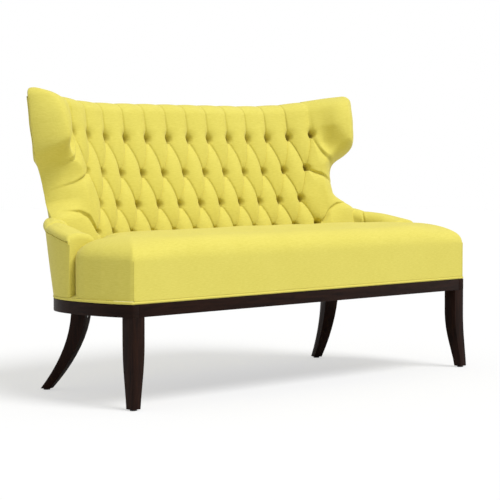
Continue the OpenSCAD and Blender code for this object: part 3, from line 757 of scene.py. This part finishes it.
def flat_cover():
    bm = bmesh.new()
    bmesh.ops.create_grid(bm, x_segments=14 * LINES, y_segments=14 * LINES, size=7)
    u, w = flat_marks(bm.verts)
    p, q = crowded(u + 1), crowded(w - 1)
    for vertex, s, v in zip(bm.verts, (p + q) / 2 * PITCH, p - q - 1):
        vertex.co = (s, v, 0)
    for spot, way in (((BUTTON_HALF, 0, 0), (1, 0, 0)), ((-BUTTON_HALF, 0, 0), (-1, 0, 0)),
                      ((0, 3, 0), (0, 1, 0)), ((0, -1, 0), (0, -1, 0))):
        bmesh.ops.bisect_plane(bm, geom=bm.verts[:] + bm.edges[:] + bm.faces[:], dist=1e-6,
                               plane_co=spot, plane_no=way, clear_outer=True)
    grow(bm, border(bm, 1, 3), 1, [3 + (k + 1) / UP_STEPS for k in range(UP_STEPS)])
    grow(bm, border(bm, 1, -1), 1, [-1 - 0.15 * (k + 1) for k in range(8)])
    for side in (1, -1):
        edge = border(bm, 0, side * BUTTON_HALF)
        grow(bm, edge, 0, [side * (BUTTON_HALF + (k + 1) / OUT_STEPS) for k in range(OUT_STEPS)])
    sides = [e for e in bm.edges if all(abs(v.co.x) > FINE_FROM and v.co.y < 3.01 for v in e.verts)]
    bmesh.ops.subdivide_edges(bm, edges=sides, cuts=2, use_grid_fill=True)
    return bm


def wrap_over(bm):
    """Extrudes the outer border on in steps, marked by how far they lie past it."""
    last_x, last_y = BUTTON_HALF + 1, 4
    edges = [e for e in border_edges(bm) if all(
        abs(abs(v.co.x) - last_x) < 1e-6 or abs(v.co.y - last_y) < 1e-6 for v in e.verts)]
    for k in range(OVER_STEPS):
        over = (k + 1) / (OVER_STEPS - 1)
        fresh, edges = extruded(bm, edges)
        for vertex in fresh:
            if abs(vertex.co.x) > last_x - 1e-6:
                vertex.co.x = (last_x + over) * (1 if vertex.co.x > 0 else -1)
            if vertex.co.y > last_y - 1e-6:
                vertex.co.y = last_y + over


cover_bm = flat_cover()
wrap_over(cover_bm)
print("flat cover:", len(cover_bm.verts), "points", len(cover_bm.faces), "faces")

# %% [markdown]
# Each mark of the flat mesh is turned into a place. Past the outline the shell rolls round to
# the back. At its foot the column spreads outwards and forwards to meet the arm.

# %% Shape of the cover
BACK_ROLL = 0.020
COLUMN_S = 0.56  # the column and the wing lie past this
FOOT_OUT, FOOT_FORWARD = 0.055, 0.0375  # how far the foot of the column spreads
# Painted shade in the pits: none where the cover lies more than the first number above the plane of
# the buttons, full the second number lower.
PIT_SHADE_FROM, PIT_SHADE_SPAN = 0.012, 0.030


def roll_width(h):
    """Width of the rolled side edge: broad on the column and narrower on the wing."""
    return 0.070 - 0.022 * ease((h - 0.29) / 0.07)


def column_foot(h):
    return (1 - ease((h - 0.145) / 0.075)) * ease(h / 0.10)


def spread(raw_x, raw_y):
    """Turns the marks of the flat mesh into s, h and how far a point lies round the edge."""
    reach = np.abs(raw_x)
    out = unit(reach - BUTTON_HALF)
    up = unit(raw_y - 3)
    over = np.maximum(np.maximum(reach - BUTTON_HALF - 1, raw_y - 4), 0)
    v = np.minimum(raw_y, 3)
    h = row_h(v) + rise(raw_x)
    end = np.where(up > 0, WING_S, side_end(h))
    roll = np.minimum(roll_width(h), (end - BUTTON_HALF) * 0.8)
    even = BUTTON_HALF + (end - roll - BUTTON_HALF) * np.minimum(out, 0.5) / 0.5
    curved = roll * np.sin(np.clip(out - 0.5, 0, 0.5) * pi)
    s = np.where(reach <= BUTTON_HALF, reach, even + curved)
    top = top_end(s)
    low_top = top_row_h(s)
    flat_up = low_top + (top - TOP_ROLL - low_top) * np.minimum(up, 0.6) / 0.6
    round_up = TOP_ROLL * np.sin(np.clip(up - 0.6, 0, 0.4) / 0.4 * pi / 2)
    h = np.where(up > 0, flat_up + round_up, h)
    share = (np.minimum(side_end(h), WING_S) - BUTTON_HALF) / (WING_S - BUTTON_HALF)
    on_wing = (up > 0) & (reach > BUTTON_HALF)
    s = np.where(on_wing, BUTTON_HALF + (s - BUTTON_HALF) * share, s)
    return np.sign(raw_x) * s, v + up, h, over, out, up


def edge_normal(reach, h, on_top):
    """Way from a point of the outline straight into the shape, on the flat picture."""
    step = 0.0015
    slope = (side_end(h + step) - side_end(h - step)) / (2 * step)
    top_slope = (top_end(reach + step) - top_end(reach - step)) / (2 * step)
    ns = np.where(on_top, top_slope, -1)
    nh = np.where(on_top, -1, slope)
    size = np.hypot(ns, nh)
    return ns / size, nh / size


def cover_points(raw_x, raw_y):
    s, v, h, over, out, up = spread(raw_x, raw_y)
    away = inside_by(s, h)
    flatter = 0.3 + 0.2 * (1 - ease((h - 0.30) / 0.07))
    power = 2 - ease((np.abs(s) - 0.50) / 0.08) * flatter
    full = (1 - (1 - unit(away / roll_width(h))) ** power) ** (1 / power)
    raised = relief(s, v, h)
    foot = column_foot(h)
    middle = edge_d(s, h) - FOOT_FORWARD * foot * ease((np.abs(s) - COLUMN_S) / 0.05)
    d = middle - (middle + raised) * full
    across = np.abs(np.sin(pi * s / PITCH)) ** 0.5
    scallop = 0.0035 * (1 - across) * (np.abs(s) < BUTTON_HALF) * (up > 0) * (1 - full)
    behind = over > 0
    reach = np.abs(s[behind])
    on_top = (up[behind] >= 1) & (out[behind] < 1)
    ns, nh = edge_normal(reach, h[behind], on_top)
    turn = np.minimum(over[behind], 1) * pi / 2
    into = BACK_ROLL * (1 - np.cos(turn)) + 0.008 * np.maximum(over[behind] - 1, 0) / 0.15
    start = middle[behind]
    s[behind] = np.sign(s[behind]) * (reach + ns * into)
    h[behind] = h[behind] + nh * into
    d[behind] = start + (rear_d(s[behind], h[behind]) - start) * np.sin(turn)
    in_front = 1 - np.minimum(over, 1)
    out_by = FOOT_OUT * foot * ease((np.abs(s) - COLUMN_S) / 0.07)
    return lean_back(s + np.sign(s) * out_by * in_front, d, h - scallop * in_front)


def pit_shade_marks(raw_x, raw_y):
    """Share of painted shade: 1 at the bottom of a pit and 0 on open cloth."""
    s, v, h, *_ = spread(raw_x, raw_y)
    return unit((PIT_SHADE_FROM - relief(s, v, h)) / PIT_SHADE_SPAN)


# Each point of the cover carries its share of painted shade, which the colour of the cover reads.
pit_shade_layer = cover_bm.verts.layers.float.new("pit_shade")
marks = flat_marks(cover_bm.verts)
pit_shades = pit_shade_marks(*marks)
for vertex, pit_shade in zip(cover_bm.verts, pit_shades):
    vertex[pit_shade_layer] = pit_shade
set_points(cover_bm.verts, cover_points(*marks))
print("cover bent to shape, tucked points:", int((pit_shades > 0.5).sum()))

# %% [markdown]
# The shell is closed by a hidden inner wall just in front of the outside panel. It is a grid
# that is bent in the same way, and its border is bridged to the border of the cover.

# %% Closing the cover
RAIL_TOP = 0.309  # top of the show rail, on which the cover ends
SEAM_LOW, WALL_LOW = 0.3095, 0.312  # lower ends of the outside panel and of the hidden wall


def panel_s_end(h, margin):
    """Half width of the shape that lies a margin inside the outline, for each height."""
    tries = np.linspace(0.50, 0.74, 121)
    result = []
    for height in h:
        away = distance_to(OUTLINE, tries, np.full(121, height))
        inside = tries[(away >= margin) & (tries < side_end(height))]
        result.append(float(inside.max()) if len(inside) else 0.50)
    return np.array(result)


def panel_h(s, share, low_z, d, margin):
    """Heights from a level line low_z up to a margin below the top, along the leaning plane."""
    foot = lean_back(s, d, np.zeros(len(s)))
    low = (low_z - foot[:, 2]) / cos(LEAN)
    return low + (TOP_H - margin - low) * share


def panel_points(margin, low_z, depth):
    heights = np.linspace(LOW_H, TOP_H - margin, 80)
    ends = panel_s_end(heights, margin)

    def place(u, v):
        share = (v + 1) / 2
        s = u * 0.55  # a first guess, which the two rounds below put right
        for _ in range(2):
            h = panel_h(s, share, low_z, np.full(len(u), BACK_D), margin)
            s = u * np.interp(h, heights, ends)
        return lean_back(s, rear_d(s, h) + depth, h)
    return place


def laid_grid(bm, columns, rows, size, place):
    """A grid from -size to size whose points lie where a function puts them."""
    verts = bmesh.ops.create_grid(bm, x_segments=columns, y_segments=rows, size=size)["verts"]
    set_points(verts, place(*flat_marks(verts)))
    return verts


outer_loop = border_edges(cover_bm)
laid_grid(cover_bm, 110, 24, 1, panel_points(0.040, WALL_LOW, -0.006))
inner_loop = [e for e in border_edges(cover_bm) if e not in set(outer_loop)]
bmesh.ops.bridge_loops(cover_bm, edges=outer_loop + inner_loop)
bmesh.ops.recalc_face_normals(cover_bm, faces=cover_bm.faces[:])
print("open edges left in the cover:", len(border_edges(cover_bm)))
add_piece("back_and_wing_cover", cover_bm, ["inside_back", "wing_pad_left", "wing_pad_right"])

# %% [markdown]
# Many pieces are one grid that is bent by a function. The two numbers of a grid point run from
# 0 to 1. Edges that meet are welded, and holes at the ends are filled.

# %% Helpers for bent grids and cords
WELD = 2e-5  # points nearer to each other than this become one
WELT_R, SEAM_R = 0.0026, 0.0022  # radii of the welts and of the upright seams


def bent_grid(bm, columns, rows, place):
    verts = laid_grid(bm, columns, rows, 0.5, lambda u, v: place(u + 0.5, v + 0.5))
    bmesh.ops.remove_doubles(bm, verts=verts, dist=WELD)


def close_up(bm):
    holes = border_edges(bm)
    if holes:
        bmesh.ops.holes_fill(bm, edges=holes, sides=0)
    bmesh.ops.recalc_face_normals(bm, faces=bm.faces[:])


def cord_bm(bm, path, radius, closed, sides):
    """A round cord along a line of points."""
    path = np.array(path)
    ahead = np.roll(path, -1, axis=0) - np.roll(path, 1, axis=0)
    if not closed:
        ahead[0], ahead[-1] = path[1] - path[0], path[-1] - path[-2]
    ahead /= np.linalg.norm(ahead, axis=1)[:, None]
    upright = np.abs(ahead[:, 2:3]) > 0.9
    up = np.where(upright, np.array([[0, 1, 0]]), np.array([[0, 0, 1]]))
    across = np.cross(ahead, up)
    across /= np.linalg.norm(across, axis=1)[:, None]
    over = np.cross(across, ahead)
    count = len(path) if closed else len(path) - 1

    def place(u, v):
        i = np.round(u * count).astype(int) % len(path)
        turn = (v * 2 * pi)[:, None]
        return path[i] + radius * (np.cos(turn) * across[i] + np.sin(turn) * over[i])
    bent_grid(bm, count, sides, place)


def cords(*paths, sides=12):
    """One closed mesh of several open cords, each given as a path and a radius."""
    bm = bmesh.new()
    for path, radius in paths:
        cord_bm(bm, path, radius, closed=False, sides=sides)
    close_up(bm)
    return bm


# %% [markdown]
# A covered button is a small dome. It is one profile that is spun round its axis, and then it
# is set into its funnel on the leaning plane.

# %% Covered buttons
BUTTON_R, BUTTON_CROWN = 0.0095, 0.0085
BUTTON_D = 0.0190  # how far a button is pulled in
# Painted shade: the cloth of the deep-sitting buttons is darkened evenly by this share.
BUTTON_PIT_SHADE = 0.45  # buttons sit deep, so their cloth is darkened evenly


def button_spots():
    spots = [(k * PITCH, 3) for k in range(-6, 7)]
    spots += [((k + 0.5) * PITCH, v) for v in (2, 0) for k in range(-6, 6)]
    spots += [(k * PITCH, 1) for k in range(-5, 6)]
    return spots


def make_buttons():
    turns = [k * pi / 18 for k in range(10)]
    profile = [(BUTTON_R * sin(turn), BUTTON_CROWN * cos(turn)) for turn in turns]
    profile += [(0.0080, -0.0030), (0, -0.0034)]
    bm = bmesh.new()
    # The buttons carry the same mark of painted shade as the cover.
    pit_shade = bm.verts.layers.float.new("pit_shade")
    for s0, v0 in button_spots():
        chain = [bm.verts.new((out, 0, up)) for out, up in profile]
        edges = [bm.edges.new(pair) for pair in zip(chain[:-1], chain[1:])]
        bmesh.ops.spin(bm, geom=chain + edges, cent=(0, 0, 0), axis=(0, 0, 1), angle=2 * pi,
                       steps=24, use_merge=True)
        fresh = [v for v in bm.verts if not v.tag]
        base = float(row_h(v0) + rise(s0))
        raw = np.array([v.co[:] for v in fresh])
        set_points(fresh, lean_back(s0 + raw[:, 0], BUTTON_D - raw[:, 2], base + raw[:, 1]))
        for vertex in fresh:
            vertex[pit_shade] = BUTTON_PIT_SHADE
            vertex.tag = True
    bmesh.ops.remove_doubles(bm, verts=bm.verts[:], dist=1e-5)
    bmesh.ops.recalc_face_normals(bm, faces=bm.faces[:])
    return bm


add_piece("covered_buttons", make_buttons(), ["back_buttons"])

# %% [markdown]
# The outside of the back is one smooth panel. Its edge is turned under and sewn down, and a
# thin welt hides the seam.

# %% Outside of the back
PANEL_MARGIN = 0.0225  # from the outline to the edge of the panel
PANEL_PUFF = 0.0035  # how far the padding lifts the panel
TURN_UNDER = 0.006  # depth of the edge that is turned under


def sine_spaced(k):
    """From -1 to 1 while k goes from 0 to 1, in small steps at both ends."""
    return np.sin((k - 0.5) * pi)


def make_outside():
    flat = panel_points(PANEL_MARGIN, SEAM_LOW, 0)
    raised = panel_points(PANEL_MARGIN, SEAM_LOW, PANEL_PUFF)
    under = TURN_UNDER * np.array([0, -cos(LEAN), sin(LEAN)])
    bm = bmesh.new()

    def outer_face(u, v):
        x, y = sine_spaced(u), sine_spaced(v)
        near = np.minimum(1 - np.abs(x), (1 - np.abs(y)) * 0.35)
        puff = np.sqrt(1 - (1 - unit(near / 0.02)) ** 2)[:, None]
        return flat(x, y) * (1 - puff) + raised(x, y) * puff

    def inner_face(u, v):
        return flat(sine_spaced(u + 0.5), sine_spaced(v + 0.5)) + under

    bent_grid(bm, 80, 30, outer_face)
    fresh, _ = extruded(bm, border_edges(bm))
    for vertex in fresh:
        vertex.co += Vector(under)
    laid_grid(bm, 80, 30, 0.5, inner_face)
    bmesh.ops.remove_doubles(bm, verts=bm.verts[:], dist=WELD)
    bmesh.ops.recalc_face_normals(bm, faces=bm.faces[:])
    return bm


add_piece("outside_back_panel", make_outside(), ["outside_back"])


def make_back_welt():
    place = panel_points(PANEL_MARGIN - 0.001, SEAM_LOW, 0.0015)
    up, across = np.linspace(-1, 1, 120), np.linspace(1, -1, 160)
    path = np.concatenate([place(np.full(120, 1), up), place(across, np.full(160, 1))[1:-1],
                           place(np.full(120, -1), up[::-1])])
    return cords((path, WELT_R), sides=10)


add_piece("outside_back_welt", make_back_welt())

# %% [markdown]
# An arm is a board with padding over its top and inner side. The outer side is a flat panel of
# cover that ends in a welt, and the padded roll hangs over it by a few millimetres. Its section
# is drawn once, and it changes along the curve of the base while the arm climbs to the column.

# %% Path of the arm
FRONT_Y = -0.338  # front of the base, from which its plan is measured
BASE_HALF = 0.788  # half width of the base where its rear curve begins
CURVE_Y, CURVE_DEPTH = 0.175, 0.355
CURVE_POWER = 2.9  # 2 would be an ellipse; more is closer to a rectangle
ARM_START, ARM_TURN = radians(6.4), radians(35.8)
ARM_END = 1.12


def base_side(angle):
    """Point of the rear curve of the base and the way out of it, for angles in radians."""
    x = BASE_HALF * np.cos(angle) ** (2 / CURVE_POWER)
    y = CURVE_Y + CURVE_DEPTH * np.sin(angle) ** (2 / CURVE_POWER)
    out_x = (x / BASE_HALF) ** (CURVE_POWER - 1) / BASE_HALF
    out_y = ((y - CURVE_Y) / CURVE_DEPTH) ** (CURVE_POWER - 1) / CURVE_DEPTH
    return x, y, out_x, out_y


def arm_place(side, k, q, z, forward=0):
    """World place of a point of an arm: k along it, q in from the outer side, z up."""
    path = np.clip(k, 0, ARM_END)
    x, y, out_x, out_y = base_side(ARM_START + ARM_TURN * path)
    out_y = out_y * np.minimum(1, 3 * path)
    size = np.hypot(out_x, out_y)
    x, y = x - out_x / size * q, y - out_y / size * q
    y = y + np.tan(LEAN) * (z - RAIL_TOP) * ease(path) - forward
    return columns(side * x, y + FRONT_Y, z + 0 * x)


def arm_height(k):
    return np.interp(k, [0, 0.2, 0.4, 0.6, 0.7, 0.8, 0.9, ARM_END],
                     [0.497, 0.505, 0.514, 0.523, 0.529, 0.533, 0.535, 0.536])


def arm_width(k):
    return 0.112 - 0.050 * unit(k) ** 0.8


# %% [markdown]
# The section is followed by w from 0 to 1: up the outer panel, over the roll that hangs above
# the welt, across the crown, down the inner side and back along the bottom. Just before the
# column a pleat is pressed into the padding.

# %% Section of the arm
SEAM_DROP = 0.0215  # the welt lies this far below the top of the arm
ROLL_IN = 0.016  # from the outer panel to the middle of the roll
INNER_R, INNER_LOW = 0.045, 0.330  # radius of the inner edge and lower end of the inner side
SWELL_END = 0.56  # the front part of the padding ends here, where the pleat is


def front_swell(k):
    return 0.0035 * hump(k / SWELL_END)


def arm_section(k, w):
    width = arm_width(k)
    inner = np.minimum(INNER_R, 0.45 * width)
    pleat = 0.50 + 0.12 * ease((w - 0.30) / 0.30)
    hang = 0.0055 * (1 - ease((k - 0.65) / 0.25))
    groove = 0.0065 * np.exp(-np.abs((k - pleat) / 0.012) ** 1.2)
    rear_swell = 0.003 * hump((k - SWELL_END) / 0.4)
    top = arm_height(k) + (front_swell(k) + rear_swell) - 0.002
    flat_top = top - 0.002
    seam = top - SEAM_DROP
    turn = unit((w - 0.30) / 0.12) * pi / 2
    turn_in = unit((w - 0.58) / 0.16) * pi / 2
    panel_k, inner_k = unit(w / 0.28), unit((w - 0.74) / 0.16)
    crown_k = unit((w - 0.42) / 0.16)
    parts = [w < 0.28, w < 0.30, w < 0.42, w < 0.58, w < 0.74, w < 0.90]
    q = np.select(parts, [
        -0.002 * np.sin(panel_k * pi),
        0.006 + 0 * w,
        ROLL_IN - (ROLL_IN + hang - groove * 0.5) * np.cos(turn),
        ROLL_IN + (width - inner - ROLL_IN) * crown_k,
        width - inner + (inner - groove) * np.sin(turn_in),
        width - groove * (1 - inner_k)],
        default=width * unit((1 - w) / 0.1))
    z = np.select(parts, [
        RAIL_TOP + (seam - RAIL_TOP) * panel_k,
        seam + 0.0005,
        top - 0.0205 + (0.0185 - groove) * np.sin(turn),
        flat_top + 0.003 * np.sin(crown_k * pi) - groove,
        flat_top - inner + (inner - groove) * np.cos(turn_in),
        flat_top - inner + (INNER_LOW - (flat_top - inner)) * inner_k],
        default=RAIL_TOP + 0 * w)
    return q, z


NOSE = 0.09  # share of the grid that rounds the front of the arm
SIDES = (("left", -1), ("right", 1))


def arm_points(side):
    def place(u, w):
        k = np.where(u < NOSE, 0, (u - NOSE) / 0.91 * 1.10)
        front = unit((NOSE - u) / NOSE) * pi / 2
        q, z = arm_section(k, w)
        back_by = 1 - np.cos(front)
        q = q - unit(q / arm_width(k)) ** 2 * 0.018 * back_by
        z = z - unit((z - 0.40) / 0.095) ** 2 * 0.020 * back_by
        return arm_place(side, k, q, z, forward=0.014 * np.sin(front))
    return place


def make_arm(side):
    bm = bmesh.new()
    bent_grid(bm, 150, 150, arm_points(side))
    close_up(bm)
    return bm


for label, side in SIDES:
    arm = add_piece("arm_cover_" + label, make_arm(side), ["arm_pad_" + label])
    arm.data.set_sharp_from_angle(angle=radians(50))


# %% Welts of the arms
def make_arm_welts(side):
    k = np.linspace(0, 1.04, 90)
    top = arm_height(k) + front_swell(k) - 0.002
    z = np.linspace(SEAM_LOW, 0.4735, 40)
    along = [(arm_place(side, k, np.full(90, -0.0005), top - drop), radius)
             for drop, radius in ((SEAM_DROP, WELT_R), (0.0275, 0.0018))]
    upright = [(arm_place(side, np.zeros(40), np.full(40, q), z, forward), SEAM_R)
               for q, forward in ((0.0012, 0.0128), (0.0004, 0.0065))]
    return cords(*along, *upright)


for label, side in SIDES:
    add_piece("arm_welts_" + label, make_arm_welts(side), ["arm_piping_" + label])

# %% [markdown]
# The seat is one deep pad that is sewn down along the rail. Its wide front part has sewn upright
# corners, rounded corners next to the arms, and a narrow tongue between them. The top is drawn
# as a grid whose edge rolls down, and then the border is extruded to the rail.

# %% Seat
SEAT_DROP, SEAT_TOP = 0.066, 0.4845
SEAT_Y = [0.0005, 0.004, 0.012, 0.05, 0.11, 0.175, 0.198, 0.216,
          0.232, 0.244, 0.252, 0.258, 0.268, 0.300, 0.384]
SEAT_X = [0.7465, 0.7535, 0.7570, 0.7675, 0.7800, 0.7855, 0.7840, 0.7790,
          0.7690, 0.7540, 0.7350, 0.7050, 0.6760, 0.6480, 0.5570]
SEAT_POWER = 2.2  # 2 would round its edge like a circle; more is fuller
BORDER_STEPS, BORDER_LOW = 14, 0.3092
ARM_FRONT = (0.200, 0.262, 0.7845)  # from y to y, the border meets the arm at this x


def seat_half(y):
    return np.interp(y, SEAT_Y, SEAT_X)


def seat_plan(x, y):
    """Place on the plan for x and y from -1 to 1."""
    rear = 0.450 - 0.066 * x ** 4
    across = SEAT_Y[0] + (rear - SEAT_Y[0]) * (y + 1) / 2
    return x * seat_half(across), across


def seat_outline():
    k = np.linspace(-1, 1, 201)
    sides = np.stack(seat_plan(np.ones(201), k), axis=-1)
    front = np.stack(seat_plan(np.linspace(0, 1, 20), -np.ones(20)), axis=-1)
    rear = np.stack(seat_plan(np.linspace(1, 0, 40), np.ones(40)), axis=-1)
    return np.concatenate([front[:-1], sides[:-1], rear])


SEAT_OUTLINE = seat_outline()


def seat_top(u, v):
    x, y = seat_plan(sine_spaced(u), sine_spaced(v))
    away = distance_to(SEAT_OUTLINE, x, y)
    edge = 0.070 + 0.060 * ease((np.abs(x) - 0.55) / 0.15)
    k = unit(away / edge)
    drop = SEAT_DROP * (1 - (1 - (1 - k) ** SEAT_POWER) ** (1 / SEAT_POWER))
    crown = 0.010 * ease((away - 0.02) / 0.20)
    wave = 0.0009 * np.sin(13 * x + 5 * y) + 0.0007 * np.sin(29 * x - 17 * y + 1)
    return columns(x, y + FRONT_Y, SEAT_TOP + crown + wave * k - drop)


def make_seat():
    bm = bmesh.new()
    bent_grid(bm, 180, 90, seat_top)
    bm.normal_update()
    edges = border_edges(bm)
    start = SEAT_TOP - SEAT_DROP
    for step in range(1, BORDER_STEPS + 1):
        fresh, edges = extruded(bm, edges)
        for vertex in fresh:
            vertex.co.z = start + (BORDER_LOW - start) * (step / BORDER_STEPS)
            if step == BORDER_STEPS and ARM_FRONT[0] < vertex.co.y - FRONT_Y < ARM_FRONT[1]:
                vertex.co.x *= ARM_FRONT[2] / abs(vertex.co.x)
    close_up(bm)
    return bm


seat = add_piece("seat_cover", make_seat(), ["seat_pad"])
seat.data.set_sharp_from_angle(angle=radians(60))


# %% Seams at the front corners of the seat
def make_corner_seams():
    z = np.linspace(SEAM_LOW, 0.4230, 30)
    x, y = np.full(30, SEAT_X[0] + 0.0035), np.full(30, SEAT_Y[0] + 0.0015 + FRONT_Y)
    return cords(*[(columns(side * x, y, z), SEAM_R) for side in (-1, 1)])


add_piece("seat_corner_seams", make_corner_seams())

# %% [markdown]
# A covered cord hides the tacks where the cover meets the rail, all the way round the base.

# %% Cord round the base
CORD_R, CORD_Z = 0.0044, 0.3045
CORD_IN = 0.003  # its middle lies this far inside the outline of the base
FRONT_HALF = 0.756  # half width of the base at its front
LEAST_STEP = 0.0015  # points of the path that lie closer are left out


def base_path():
    front_half = FRONT_HALF - CORD_IN
    front = columns(front_half * np.linspace(-1, 1, 120), np.full(120, CORD_IN))
    k = np.linspace(0, 1, 60)[:-1]
    x = FRONT_HALF + (BASE_HALF - FRONT_HALF) * (1 - (1 - k) ** 2) - CORD_IN
    side = columns(x, np.maximum(CURVE_Y * k, CORD_IN))
    x, y, out_x, out_y = base_side(np.linspace(0, pi / 2, 160))
    size = np.hypot(out_x, out_y)
    curve = columns(x - CORD_IN * out_x / size, y - CORD_IN * out_y / size)
    right = np.concatenate([side, curve[:-1]])
    left = right[::-1] * np.array([-1, 1])
    rear = np.array([[0, CURVE_Y + CURVE_DEPTH - CORD_IN]])
    plan = np.concatenate([front[:-1], right, rear, left])
    keep = [plan[0]]
    for p in plan[1:]:
        if np.hypot(*(p - keep[-1])) > LEAST_STEP:
            keep.append(p)
    plan = np.array(keep)
    return columns(plan[:, 0], plan[:, 1] + FRONT_Y, np.full(len(plan), CORD_Z))


base_cord = bmesh.new()
cord_bm(base_cord, base_path(), CORD_R, closed=True, sides=12)
bmesh.ops.recalc_face_normals(base_cord, faces=base_cord.faces[:])
add_piece("base_cord", base_cord, ["base_piping"])
